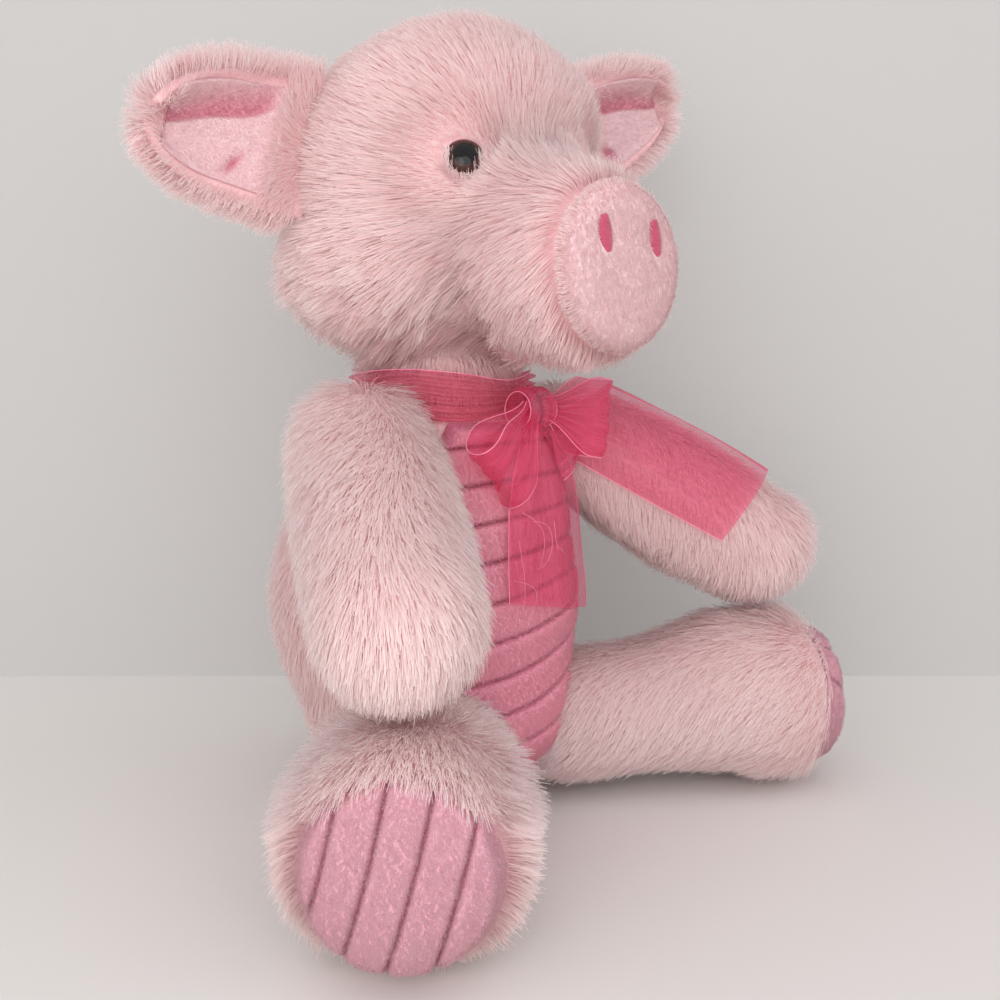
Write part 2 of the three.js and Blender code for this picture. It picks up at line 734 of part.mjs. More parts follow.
// One loop of the bow: a flattened ring of ribbon, narrow where the knot gathers it
function loopSolid(centre, name, sign) {
  const ring = new THREE.Shape();
  const half = loopFullness / 2;
  ring.moveTo(0, 0);
  ring.bezierCurveTo(loopLength / 2, half, loopLength, 2 * half, loopLength, 0);
  ring.bezierCurveTo(loopLength, -2 * half, loopLength / 2, -half, 0, 0);
  const inner = half - ribbonThickness;
  const start = loopLength / 4;
  const end = loopLength - ribbonThickness;
  const hole = new THREE.Path();
  hole.moveTo(start, 0);
  hole.bezierCurveTo(loopLength / 2, -inner / 2, end, -2 * inner, end, 0);
  hole.bezierCurveTo(end, 2 * inner, loopLength / 2, inner / 2, start, 0);
  ring.holes.push(hole);
  const geometry = new THREE.ExtrudeGeometry(ring, { depth: ribbonWidth, bevelEnabled: false, curveSegments: 8 });
  geometry.translate(0, 0, -ribbonWidth / 2);
  const place = geometry.attributes.position;
  const gathered = knotRadii[2] / ribbonWidth;
  for (let i = 0; i < place.count; i += 1) {
    const open = THREE.MathUtils.smoothstep(place.getX(i) / loopLength, 0, 0.7);
    place.setZ(i, place.getZ(i) * THREE.MathUtils.lerp(gathered, 1, open));
  }
  const turn = new THREE.Euler(0, -radians(loopDroopDegrees[name]), -radians(loopForwardDegrees), 'ZYX');
  geometry.applyMatrix4(new THREE.Matrix4().makeRotationFromEuler(turn));
  const loop = solidOf(geometry).translate([knotRadii[0] / 2, 0, 0]);
  return (sign > 0 ? loop : loop.mirror([1, 0, 0])).translate(centre.toArray());
}

function ribbonPieces() {
  const bandFront = bandRadius + bandThickness + clearance;
  const knotCentre = new THREE.Vector3(knotSide, neckPivot[1] - bandFront - knotRadii[1], knotHeight);
  const knotForm = {
    blobs: [{ centre: knotCentre.toArray(), radii: knotRadii }],
    blend: torsoBlend,
    middle: knotCentre,
    reach: 3 * knotRadii[2],
    poles: new THREE.Quaternion(),
  };
  const knotSpace = formSolid(knotForm, smallSegments, smallRings, clearance);
  const torsoSpace = formSolid(torsoForm, torsoSegments, torsoRings, clearance);
  const knot = formSolid(knotForm, smallSegments, smallRings).subtract(torsoSpace);
  const loopStart = knotCentre.clone().addScaledVector(lengthwise, -loopLift);
  const loops = sides.map(({ name, sign }) => cut(loopSolid(loopStart, name, sign), knotSpace, torsoSpace));
  const besideArm = beyond(shoulders.left.normal, shoulders.left.plane);
  const bellyStrip = cut(laidStrip(bellyTail, clearance), knotSpace, besideArm);
  const chestStrip = cut(laidStrip(chestTail, chestTailLift), knotSpace, besideArm);
  return [
    piece('neck_ribbon', bandRing(bandRadius, bandThickness, bandBottom, bandHeight), looks.ribbon),
    piece('bow_knot', knot, looks.ribbon),
    ...sides.map(({ name }, i) => piece(`bow_loop_${name}`, loops[i], looks.ribbon)),
    piece('ribbon_tail_belly', bellyStrip, looks.ribbon),
    piece('ribbon_tail_chest', chestStrip, looks.ribbon),
  ];
}

// The ribbon's far end, laid over the upper and front side of the left arm
function armRibbon() {
  const limb = armLimb('left');
  const { normal, plane } = shoulders.left;
  const front = new THREE.Vector3().crossVectors(limb.direction, up).normalize();
  const upwards = new THREE.Vector3().crossVectors(front, limb.direction).normalize();
  const start = armTailStartShare * limb.length;
  const end = armTailEndShare * limb.length;
  const window = new THREE.BoxGeometry(armTailLow + armTailHigh, armTailBack + armTailHigh, end - start);
  window.translate((armTailHigh - armTailLow) / 2, (armTailHigh - armTailBack) / 2, (start + end) / 2);
  const frame = new THREE.Matrix4().makeBasis(upwards, front, limb.direction).setPosition(limb.root);
  const strip = limbSolid(limb, clearance + ribbonThickness).subtract(limbSolid(limb, clearance));
  const laid = strip.intersect(solidOf(window.applyMatrix4(frame)));
  return piece('ribbon_tail_arm', laid.subtract(beyond(normal.clone().negate(), -plane - clearance)), looks.ribbon);
}

const head = new THREE.Group();
head.add(...headPieces());
head.position.copy(pivot);
head.rotation.z = radians(headYawDegrees);

const pig = new THREE.Group();
pig.add(...torsoPieces(), ...ribbonPieces(), armRibbon(), tailPiece(), head);
for (const { name, sign } of sides) pig.add(...armPieces(name), ...legPieces(name, sign));

export default pig;
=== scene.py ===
# %% [markdown]
# # A plush pig, sitting
# The real pig is sewn from long-pile plush over loose filling. Its tummy and soles are ribbed velour, its
# ears are lined, and a sheer ribbon is tied round its neck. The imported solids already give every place,
# size and joint. So this lesson dresses them: it repeats their forms in softer shapes and moves nothing.

# %% Load the fixed frame
import json
import math

import bpy
import numpy as np
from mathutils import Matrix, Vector


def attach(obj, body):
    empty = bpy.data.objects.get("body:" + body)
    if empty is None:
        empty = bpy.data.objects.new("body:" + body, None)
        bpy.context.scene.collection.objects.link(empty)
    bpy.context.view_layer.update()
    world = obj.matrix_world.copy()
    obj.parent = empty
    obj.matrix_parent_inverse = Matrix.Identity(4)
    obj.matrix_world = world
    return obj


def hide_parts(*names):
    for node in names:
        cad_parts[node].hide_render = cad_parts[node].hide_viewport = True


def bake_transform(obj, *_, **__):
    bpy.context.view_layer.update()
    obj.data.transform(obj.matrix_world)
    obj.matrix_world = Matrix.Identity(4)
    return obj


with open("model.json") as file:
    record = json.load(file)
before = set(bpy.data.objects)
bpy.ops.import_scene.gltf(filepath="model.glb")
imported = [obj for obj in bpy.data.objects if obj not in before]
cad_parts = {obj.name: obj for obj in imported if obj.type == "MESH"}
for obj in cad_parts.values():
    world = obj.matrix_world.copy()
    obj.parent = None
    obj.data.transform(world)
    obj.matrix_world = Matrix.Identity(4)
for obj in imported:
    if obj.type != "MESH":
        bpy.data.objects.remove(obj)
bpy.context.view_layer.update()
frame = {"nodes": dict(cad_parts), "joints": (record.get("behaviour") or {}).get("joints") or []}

# %% [markdown]
# ## Helpers
# Sizes are written in millimetres, as a maker of soft toys would, and turned into metres when a mesh is
# written. Left and right are the pig's own. One set of dice with a fixed start gives the same fur on every
# run.

# %% Numbers and shapes of numbers
MM = 0.001
UP = np.array([0.0, 0.0, 1.0])
SIDES = {"right": -1, "left": 1}
dice = np.random.default_rng(11)


def unit(vectors):
    vectors = np.asarray(vectors, float)
    return vectors / np.maximum(np.linalg.norm(vectors, axis=-1, keepdims=True), 1e-9)


def ramp(value, start, end):
    share = np.clip((np.asarray(value, float) - start) / (end - start), 0, 1)
    return share * share * (3 - 2 * share)


def wobble(points, size, seed=0.0):
    """A smooth wave between about -1 and 1, with bumps of the given size in mm."""
    waves = np.sin(points[:, [1, 2, 0]] / size + (seed, seed + 1.3, seed + 2.9))
    waves = waves + 0.6 * np.sin(points[:, [2, 0, 1]] * 1.7 / size + (seed + 0.4, 2.1, 0.9))
    return waves.sum(axis=1) / 4.8


def swirl(points, size, strength, shift=0.0):
    """Lets the way of the pile wander, as it does where hands have stroked it."""
    return strength * np.sin(points[:, [1, 2, 0]] / size + shift)


def read(items, field, columns=1, kind=float):
    flat = np.empty(columns * len(items), kind)
    items.foreach_get(field, flat)
    return flat.reshape(-1, columns) if columns > 1 else flat


# %% Pieces: reading, moving, editing and dressing them
def points_of(piece):
    return read(piece.data.vertices, "co", 3) / MM


def move_points(piece, points):
    piece.data.vertices.foreach_set("co", (np.asarray(points) * MM).ravel())
    piece.data.update()


def add_piece(name, mesh):
    piece = bpy.data.objects.new(name, mesh)
    bpy.context.scene.collection.objects.link(piece)
    return piece


def only(piece):
    bpy.ops.object.select_all(action="DESELECT")
    piece.select_set(True)
    bpy.context.view_layer.objects.active = piece


def start_edit(piece):
    only(piece)
    bpy.ops.object.mode_set(mode="EDIT")
    bpy.ops.mesh.select_all(action="SELECT")


def end_edit(faces_outwards=True):
    if faces_outwards:
        bpy.ops.mesh.select_all(action="SELECT")
        bpy.ops.mesh.normals_make_consistent(inside=False)
    bpy.ops.object.mode_set(mode="OBJECT")


def use_modifier(piece, kind, **settings):
    only(piece)
    modifier = piece.modifiers.new(kind.lower(), kind)
    for name, value in settings.items():
        setattr(modifier, name, value)
    bpy.ops.object.modifier_apply(modifier=modifier.name)


def smooth(piece, degrees=None):
    only(piece)
    if degrees is None:
        bpy.ops.object.shade_smooth()
    else:
        bpy.ops.object.shade_smooth_by_angle(angle=math.radians(degrees))


def put_on(piece, body, look, replaces=()):
    piece.data.materials.clear()
    piece.data.materials.append(look)
    if body:
        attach(piece, body)
    if replaces:
        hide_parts(*replaces)


def face_towards(piece, aim):
    normals = read(piece.data.polygons, "normal", 3)
    if (normals @ np.asarray(aim, float)).sum() < 0:
        piece.data.flip_normals()


def write_attribute(piece, name, values, kind="FLOAT"):
    layer = piece.data.attributes.new(name, kind, "POINT")
    layer.data.foreach_set("value" if kind == "FLOAT" else "vector", np.asarray(values, float).ravel())


# %% [markdown]
# ## Forms
# A stuffed toy is round wherever its filling can push. It could be modelled as one mesh by hand, but then
# nothing would say where the cloth lies under the pile. So the forms are the same balls and round bars as
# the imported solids, melted together. Each function gives how far a point is outside the surface: a skin
# lies a chosen depth below it, and a ribbon a chosen height above it.

# %% Balls, bars and how they melt together
def ball_distance(points, centre, radii):
    offset = points - np.array(centre, float)
    near = np.linalg.norm(offset / radii, axis=1)
    slope = np.linalg.norm(offset / np.square(radii), axis=1)
    return np.where(slope < 1e-9, -min(radii), near * (near - 1) / np.maximum(slope, 1e-9))


def bone_distance(points, start, end, start_radius, end_radius):
    run = np.subtract(end, start)
    share = np.clip((points - start) @ run / (run @ run), 0, 1)
    radius = start_radius + (end_radius - start_radius) * share
    return np.linalg.norm(points - start - share[:, None] * run, axis=1) - radius


def melted(distances, blend):
    nearest = distances[0]
    for own in distances[1:]:
        overlap = np.maximum(blend - np.abs(nearest - own), 0) / blend
        nearest = np.minimum(nearest, own) - overlap ** 2 * blend / 4
    return nearest


# %% The torso, and the head in its own frame
def torso_distance(points):
    return melted([
        ball_distance(points, (0, 13, 66), (52, 54, 59)),
        ball_distance(points, (0, 4, 31.5), (44, 45, 32)),
        ball_distance(points, (0, 3, 104), (42, 39, 38)),
        ball_distance(points, (0, 2, 124), (30, 29, 30)),
    ], 12)


NECK = np.array([0.0, 2.0, 142.0])
NECK_RADIUS = 21
NECK_FIT = NECK_RADIUS + 0.6
HEAD_YAW = math.radians(-5)
TURN = np.array([
    [math.cos(HEAD_YAW), -math.sin(HEAD_YAW), 0],
    [math.sin(HEAD_YAW), math.cos(HEAD_YAW), 0],
    [0, 0, 1],
])
SKULL = np.array([0.0, -2.0, 52.0])
SNOUT_FRONT = 78
SNOUT_HEIGHT = 29


def in_head(points):
    return (np.asarray(points) - NECK) @ TURN


def from_head(points):
    return np.asarray(points) @ TURN.T + NECK


def head_distance(points):
    own = in_head(points)
    return melted([
        ball_distance(own, SKULL, (57, 46, 56)),
        ball_distance(own, (29, -7, 32), (30, 34, 25)),
        ball_distance(own, (-29, -7, 32), (30, 34, 25)),
        bone_distance(own, (0, -32, 37), (0, -62, 29.5), 33, 27),
    ], 10)


print("torso at its seat:", torso_distance(np.array([[0, 13.0, 66]])).round(1), "mm, negative is inside")


# %% Arms and legs
class Limb:
    """A round bar from root to end. It widens from root_radius to end_radius and ends in a dome."""

    def __init__(self, root, end, radii, end_depth, swell=0, straight=0, fullness=1):
        self.root = np.array(root, float)
        self.run = np.array(end, float) - self.root
        self.length = float(np.linalg.norm(self.run))
        self.aim = self.run / self.length
        self.root_radius, self.end_radius = radii
        self.end_depth = end_depth
        self.swell = swell
        self.straight = straight
        self.fullness = fullness

    def radius(self, along):
        share = np.clip(along / self.length, 0, 1)
        widening = ramp(share, self.straight, 1)
        swelling = 4 * share * (1 - share) * self.swell
        return self.root_radius + (self.end_radius - self.root_radius) * widening + swelling

    def parts(self, points):
        offset = points - self.root
        along = offset @ self.aim
        across = offset - along[:, None] * self.aim
        return along, across, np.linalg.norm(across, axis=1)

    def distance(self, points):
        along, _, away = self.parts(points)
        middle = away - self.radius(along)
        before = np.hypot(away, along) - self.root_radius
        power = 2 / self.fullness
        beyond = (away / self.end_radius) ** power
        beyond = beyond + np.maximum((along - self.length) / self.end_depth, 0) ** power
        end = (beyond ** (1 / power) - 1) * min(self.end_radius, self.end_depth)
        return np.where(along < 0, before, np.where(along > self.length, end, middle))


SHOULDER_OUT, SHOULDER_BACK, SHOULDER_HEIGHT = 44.519, -10, 120
ARM_RADIUS = 22
PAWS = {"right": (-81, -68, 83.8), "left": (89, -60, 83.8)}
HIP_OUT, HIP_BACK, HIP_HEIGHT = 31.287, -26.253, 24.5
LEG_LENGTH = 63
FOOT_RISE = 6
SPLAY_DEGREES = {"right": 48, "left": 54}

arms, legs = {}, {}
for side, sign in SIDES.items():
    shoulder = (sign * SHOULDER_OUT, SHOULDER_BACK, SHOULDER_HEIGHT)
    arms[side] = Limb(shoulder, PAWS[side], (ARM_RADIUS, ARM_RADIUS), ARM_RADIUS, swell=2)
    splay = math.radians(SPLAY_DEGREES[side])
    level = math.sqrt(LEG_LENGTH ** 2 - FOOT_RISE ** 2)
    hip = np.array([sign * HIP_OUT, HIP_BACK, HIP_HEIGHT])
    foot = hip + (sign * math.sin(splay) * level, -math.cos(splay) * level, FOOT_RISE)
    legs[side] = Limb(hip, foot, (25, 31), 28, straight=0.35, fullness=0.72)
print("arm lengths in mm:", {side: round(arm.length) for side, arm in arms.items()})


# %% Where a line of sight meets a form
def slope_of(distance, points, step):
    reach = np.eye(3) * step
    return unit(np.stack([distance(points + r) - distance(points - r) for r in reach], axis=1))


def reach_along(field, starts, aims, reach, steps=80):
    """Walks in from outside, then halves the last step until the surface is found."""
    outside = np.full(len(aims), float(reach))
    step = reach / steps
    for _ in range(steps):
        free = field(starts + aims * (outside - step)[:, None]) > 0
        outside = np.where(free, outside - step, outside)
    inside = outside - step
    for _ in range(18):
        middle = (inside + outside) / 2
        free = field(starts + aims * middle[:, None]) > 0
        outside = np.where(free, middle, outside)
        inside = np.where(free, inside, middle)
    return inside


EYE_OUT, EYE_AHEAD, EYE_UP = 25, 39.5, 7.5
EYE_SINK = 2.5


def head_eye(side):
    aim = unit(np.array([[SIDES[side] * EYE_OUT, -EYE_AHEAD, EYE_UP]])) @ TURN.T
    middle = from_head([SKULL])
    point = middle + aim * reach_along(head_distance, middle, aim, 150)[:, None]
    axis = slope_of(head_distance, point, 0.1)
    return (point - EYE_SINK * axis)[0], axis[0]


eye_places = {side: head_eye(side) for side in SIDES}
print("eyes at", {side: np.round(place[0], 1).tolist() for side, place in eye_places.items()})

# %% [markdown]
# ## Camera, floor, wall and light
# The photo was taken close up from the pig's right, a little above, on a pale table before a pale wall.
# Soft light comes from the left, in front. Large round lamps give such light without hard shadow edges.

# %% Camera
CAMERA_TARGET = np.array([10.0, -14.0, 100.0])
CAMERA_DISTANCE = 372
AZIMUTH, ELEVATION = math.radians(-46), math.radians(7)
LENS, SENSOR = 40.68, 36

back = np.array([
    math.sin(AZIMUTH) * math.cos(ELEVATION), -math.cos(AZIMUTH) * math.cos(ELEVATION), math.sin(ELEVATION),
])
camera_place = CAMERA_TARGET + CAMERA_DISTANCE * back
bpy.ops.object.camera_add(location=Vector(camera_place * MM))
camera = bpy.context.object
camera.name = "camera"
camera.rotation_mode = "QUATERNION"
camera.rotation_quaternion = Vector(-back).to_track_quat("-Z", "Y")
camera.data.sensor_width = SENSOR
camera.data.lens = LENS
camera.data.clip_start = 0.01
bpy.context.scene.camera = camera
print("camera at, in mm:", camera_place.round().tolist())

# %% Nodes for materials
def linear(hex_colour):
    parts = [int(hex_colour[i:i + 2], 16) / 255 for i in (0, 2, 4)]
    return (*[p / 12.92 if p <= 0.04045 else ((p + 0.055) / 1.055) ** 2.4 for p in parts], 1)


def new_look(name):
    look = bpy.data.materials.new(name)
    look.use_nodes = True
    look.node_tree.nodes.clear()
    return look, look.node_tree


def add(tree, kind, inputs=None, output=0, **settings):
    """Adds a node, sets or links its inputs and gives one output. A colour is written as hex."""
    node = tree.nodes.new("ShaderNode" + kind)
    for name, value in settings.items():
        setattr(node, name, value)
    for name, value in (inputs or {}).items():
        if isinstance(value, bpy.types.NodeSocket):
            tree.links.new(value, node.inputs[name])
        else:
            node.inputs[name].default_value = linear(value) if isinstance(value, str) else value
    return node.outputs[output] if node.outputs else None


def mottle(tree, size_mm, detail=3):
    """Uneven spots of a real size, laid out in the piece's own Object coordinates."""
    place = add(tree, "TexCoord", output="Object")
    return add(tree, "TexNoise", {"Vector": place, "Scale": 1 / (size_mm * MM), "Detail": detail}, "Fac")


# A Mix node for colours reads the second one's share at input 0 and the colours at 6 and 7. A MapRange node
# reads a value at 0 and turns the span from 1 to 2 into that from 3 to 4, which is 0 to 1 unless given.
COLOURS = {"output": 2, "data_type": "RGBA"}

# %% Floor and wall
FLOOR_DROP = 0.0003
WALL_DISTANCE = 513
STAGE_SIZE = 6


def stage_plane(name, location, size, turn, colour, one_sided=False):
    bpy.ops.mesh.primitive_plane_add(size=size, location=location, rotation=turn)
    plane = bpy.context.object
    plane.name = name
    # Matt emulsion paint on board: flat, with faint cloudy patches.
    look, tree = new_look("painted board, " + name)
    paint = add(tree, "Mix", {0: mottle(tree, 160), 6: colour, 7: "FFFFFF"}, **COLOURS, blend_type="MULTIPLY")
    shader = add(tree, "BsdfPrincipled", {"Base Color": paint, "Roughness": 0.8})
    if one_sided:
        behind = add(tree, "NewGeometry", output="Backfacing")
        shader = add(tree, "MixShader", {0: behind, 1: shader, 2: add(tree, "BsdfTransparent")})
    add(tree, "OutputMaterial", {"Surface": shader})
    plane.data.materials.append(look)


ahead = unit(-back * (1, 1, 0))
wall_place = camera_place * (1, 1, 0) + WALL_DISTANCE * ahead
stage_plane("floor", (0, 0, -FLOOR_DROP), STAGE_SIZE, (0, 0, 0), "E2DDD9")
wall_turn = (math.pi / 2, 0, math.atan2(ahead[0], -ahead[1]) + math.pi)
wall_middle = Vector(wall_place * MM) + Vector((0, 0, STAGE_SIZE / 4))
stage_plane("wall", wall_middle, STAGE_SIZE / 2 + 0.01, wall_turn, "C3C0BD", one_sided=True)
print("wall stands at, in mm:", wall_place.round().tolist())

# %% Lamps
def lamp(name, place_mm, aim_mm, size_mm, watts, colour):
    bpy.ops.object.light_add(type="AREA", location=Vector(place_mm) * MM)
    light = bpy.context.object
    light.name = name
    light.data.shape = "DISK"
    light.data.size = size_mm * MM
    light.data.energy = watts
    light.data.color = colour
    light.rotation_mode = "QUATERNION"
    light.rotation_quaternion = (Vector(aim_mm) - Vector(place_mm)).to_track_quat("-Z", "Y")


lamp("window", (-640, -340, 230), (0, 0, 100), 560, 1.35, (1, 0.99, 0.97))
lamp("room", (-450, -580, 200), (0, 0, 80), 700, 2.0, (0.98, 0.99, 1))
world = bpy.data.worlds.new("pale room")
bpy.context.scene.world = world
world.use_nodes = True
background = world.node_tree.nodes["Background"].inputs
background["Color"].default_value = linear("EDEFF2")
background["Strength"].default_value = 1.15
bpy.context.scene.view_settings.view_transform = "Standard"

# %% [markdown]
# ## Materials
# Each is named for the real cloth, thread or plastic and how it was made. Hair shaders need real hair,
# which can't leave Blender as a mesh. So the pile is a plain shader with sheen, and part of the light
# passes through it, because that soft glow is what tells plush from plastic. Sizes in the patterns are real
# ones, in millimetres.

# %% Pile: plush and velour fibres
def pile_look(name, root, middle, tip, groove=None):
    """Fibres: darker at the root, as painted shade deep in the pile, paler at the tip, and a little different
    from tuft to tuft.
    """
    look, tree = new_look(name)
    along = add(tree, "Attribute", output="Fac", attribute_name="along")
    tone = add(tree, "Attribute", output="Fac", attribute_name="tone")
    to_middle = add(tree, "MapRange", {0: along, 1: 0.0, 2: 0.5})
    to_tip = add(tree, "MapRange", {0: along, 1: 0.5, 2: 1.0})
    low = add(tree, "Mix", {0: to_middle, 6: root, 7: middle}, **COLOURS)
    fibre = add(tree, "Mix", {0: to_tip, 6: low, 7: tip}, **COLOURS)
    shade = add(tree, "Mix", {0: tone, 6: "F6DEE0", 7: "FFFFFF"}, **COLOURS)
    colour = add(tree, "Mix", {0: 1.0, 6: fibre, 7: shade}, **COLOURS, blend_type="MULTIPLY")
    # The groove attribute paints shade into the pile over the sheet's grooves, folds and rims.
    if groove:
        depth = add(tree, "Attribute", output="Fac", attribute_name="groove")
        colour = add(tree, "Mix", {0: depth, 6: colour, 7: groove}, **COLOURS)
    fibres = add(tree, "BsdfPrincipled", {
        "Base Color": colour, "Roughness": 0.6, "Sheen Weight": 0.15, "Sheen Roughness": 0.4,
        "Sheen Tint": "FFF0EE", "Specular IOR Level": 0.3,
    })
    glow = add(tree, "Mix", {0: 0.5, 6: colour, 7: "FFFFFF"}, **COLOURS)
    through = add(tree, "BsdfTranslucent", {"Color": glow})
    add(tree, "OutputMaterial", {"Surface": add(tree, "MixShader", {0: 0.6, 1: fibres, 2: through})})
    return look


# Polyester pile, brushed: a milky glow with pale tips.
long_pile = pile_look("long-pile plush, pale pink", "F6CCD1", "FAE6E5", "FFF5F3")
# Sheared polyester on the snout: the same pink, calmer and a little greyer.
snout_pile_look = pile_look("short-pile plush, pale pink", "E8C6CA", "EED5D8", "F4E2E3", "D08C9A")
# Velour is cut loops, dense and upright. Painted shade makes its colour deep at the roots, and it pales on the
# crests.
tummy_pile_look = pile_look("velour pile, warm pink", "DA8AA2", "EAA2B6", "F4B6C6", "B85474")
# The same velour, seen end on in brighter light, looks paler.
sole_pile_look = pile_look("velour pile of the soles", "C28A98", "DAB0BA", "E8C8CE", "B85E7A")
# Brushed short pile in the ears: soft, with painted shade over its fold and slit.
ear_pile_look = pile_look("short-pile ear lining, brushed", "E6C6CA", "EDD4D7", "F3E0E1", "C46A7E")


# %% Backings: the knit and velour under the pile
def matt_look(name, first, second, clouds, bumps, depth, strength, roughness, sheen):
    """Clouds of two close colours and fine bumps. clouds, bumps and depth are sizes in mm."""
    look, tree = new_look(name)
    colour = add(tree, "Mix", {0: mottle(tree, clouds), 6: first, 7: second}, **COLOURS)
    relief = add(tree, "Bump", {"Height": mottle(tree, bumps), "Strength": strength, "Distance": depth * MM})
    shader = add(tree, "BsdfPrincipled", {
        "Base Color": colour, "Roughness": roughness, "Normal": relief, "Sheen Weight": sheen,
    })
    add(tree, "OutputMaterial", {"Surface": shader})
    return look


def velour_look(name, crest, groove, pale):
    """Velour's ground: speckled like cut loops, with painted shade in each sewn groove, fold and rim."""
    look, tree = new_look(name)
    depth = add(tree, "Attribute", output="Fac", attribute_name="groove")
    base = add(tree, "Mix", {0: mottle(tree, 9), 6: crest, 7: pale}, **COLOURS)
    loops = add(tree, "Mix", {0: mottle(tree, 0.5, 2), 6: "EAE0E0", 7: "FFFFFF"}, **COLOURS)
    speckled = add(tree, "Mix", {0: 1.0, 6: base, 7: loops}, **COLOURS, blend_type="MULTIPLY")
    colour = add(tree, "Mix", {0: depth, 6: speckled, 7: groove}, **COLOURS)
    bump = add(tree, "Bump", {"Height": mottle(tree, 0.35, 4), "Strength": 0.5, "Distance": 0.3 * MM})
    shader = add(tree, "BsdfPrincipled", {
        "Base Color": colour, "Roughness": 0.9, "Sheen Weight": 0.45, "Sheen Roughness": 0.35,
        "Sheen Tint": "FFE2E6", "Normal": bump,
    })
    add(tree, "OutputMaterial", {"Surface": shader})
    return look


# Knitted polyester under the plush: matt, and only seen where tufts part.
backing = matt_look("knitted plush backing, dyed pink", "E6B4B8", "EFC6C8", clouds=6, bumps=0.9, depth=0.4,
                    strength=0.4, roughness=0.95, sheen=0.2)
# Velour ground cloths: shade is painted dark into their grooves, folds and edges, so the ribs read from afar.
# The soles' cloth is paler: painted light, as for their pile.
ribbed_velour = velour_look("wide-rib velour, warm pink", "E692A8", "BC5474", "EEA8B8")
sole_velour = velour_look("wide-rib velour of the soles", "D89EAE", "B85876", "DEACB8")
ear_velour = velour_look("short-pile ear lining, pale pink", "E8C4C9", "CC7488", "EED0D3")
snout_velour = velour_look("short-pile snout disc, pale pink", "EED0D4", "CC96A4", "F2D9DA")


# %% Ribbon and threads
def sheer_look(name):
    """Woven organza: its threads shine and cover a third, and the rest lets the light through."""
    look, tree = new_look(name)
    place = add(tree, "Attribute", output="Vector", attribute_name="weave")
    yarns = add(tree, "TexNoise", {"Vector": place, "Scale": 1.0, "Detail": 2.0}, "Fac")
    colour = add(tree, "Mix", {0: yarns, 6: "DA4474", 7: "F06E96"}, **COLOURS)
    cloth = add(tree, "BsdfPrincipled", {
        "Base Color": colour, "Roughness": 0.35, "Sheen Weight": 0.6, "Sheen Roughness": 0.3,
        "Sheen Tint": "FFB4C8", "Specular IOR Level": 0.7,
    })
    gaps = add(tree, "BsdfTransparent", {"Color": "FFD2DC"})
    cover = add(tree, "MapRange", {0: yarns, 1: 0.25, 2: 0.75, 3: 0.22, 4: 0.42})
    add(tree, "OutputMaterial", {"Surface": add(tree, "MixShader", {0: cover, 1: gaps, 2: cloth})})
    return look


def thread_look(name, dark, light, roughness):
    return matt_look(name, dark, light, 1.2, 0.2, 0.1, strength=0.5, roughness=roughness, sheen=0.4)


# Organza's threads are 0.1 mm, too fine to show, so they are drawn as streaks about 1 mm wide and 10 mm long.
organza = sheer_look("organza ribbon, sheer woven")
# Satin floss lies flat and parallel, so it has a silky shine.
satin_thread = thread_look("satin thread, rose", "A82C50", "C4506E", 0.45)
# The ribbon's edge holds a thicker, shinier thread, drawn paler pink as a painted glint.
ribbon_thread = thread_look("ribbon edge thread, shiny pink", "E0608A", "FA9AB4", 0.3)


# %% Plastic and filling
def eye_look(name):
    """Clear acrylic over a brown ring and a black pupil, polished like glass."""
    look, tree = new_look(name)
    ring = add(tree, "Attribute", output="Fac", attribute_name="along")
    iris = add(tree, "Mix", {0: mottle(tree, 0.8), 6: "2A1310", 7: "4A241C"}, **COLOURS)
    past_pupil = add(tree, "MapRange", {0: ring, 1: 0.52, 2: 0.6})
    colour = add(tree, "Mix", {0: past_pupil, 6: "0B0606", 7: iris}, **COLOURS)
    shader = add(tree, "BsdfPrincipled", {"Base Color": colour, "Roughness": 0.04, "Specular IOR Level": 0.3})
    add(tree, "OutputMaterial", {"Surface": shader})
    return look


def fill_look(name, first, second, clumps, roughness=1.0):
    return matt_look(name, first, second, clumps, clumps / 3, 0.6, strength=0.7, roughness=roughness, sheen=0.1)


# Polished acrylic: one sharp highlight that brings the face to life.
acrylic = eye_look("polished acrylic, very dark brown")
# Carded polyester wadding: white, matt and lumpy.
fibre_fill = fill_look("polyester fibre fill", "ECEAE4", "FBFAF6", 5)
# Plain cotton with pellets behind it: small hard bumps under an unbleached cloth.
pellet_cloth = fill_look("woven cotton pellet bag", "DDD8CC", "EEEAE0", 1.2)
# Injection-moulded polythene: grey-white and waxy.
moulded = fill_look("moulded polythene washer", "D2D2CE", "DEDEDA", 2, 0.4)
print("materials:", len(bpy.data.materials))

# %% [markdown]
# ## Skins
# The real skins are sewn from flat pieces and pushed out by their filling. Sewing them from flat pieces
# here would leave seams to fight with under fur that hides them. So a skin starts as a ball and is blown
# out until it meets its form from inside. Then it is stuffed: a short cloth simulation lets the filling's
# pressure swell it. It stops short of the form, and the fur that grows on it fills the rest.

# %% Where the fur is long
HEAD_PILE = 16.5


def face_parts(points):
    """Own place in the head's frame, distance from the snout's middle line and from the nearer eye."""
    own = in_head(points)
    to_snout = np.hypot(own[:, 0], own[:, 2] - SNOUT_HEIGHT)
    eye_gap = np.min([np.linalg.norm(points - eye_places[s][0], axis=1) for s in SIDES], axis=0)
    return own, to_snout, eye_gap


def jowl(own):
    """1 under the cheeks and chin, where the pile hangs longest."""
    return ramp(own[:, 2], 18, 8) * ramp(own[:, 1], -52, -36)


def muzzle(own):
    """1 on the muzzle, where the pile is trimmed."""
    return ramp(own[:, 1], -40, -58)


def brow(own):
    """1 on the forehead, which is stuffed fuller."""
    return ramp(own[:, 1], -2, -30) * ramp(own[:, 2], 64, 84)


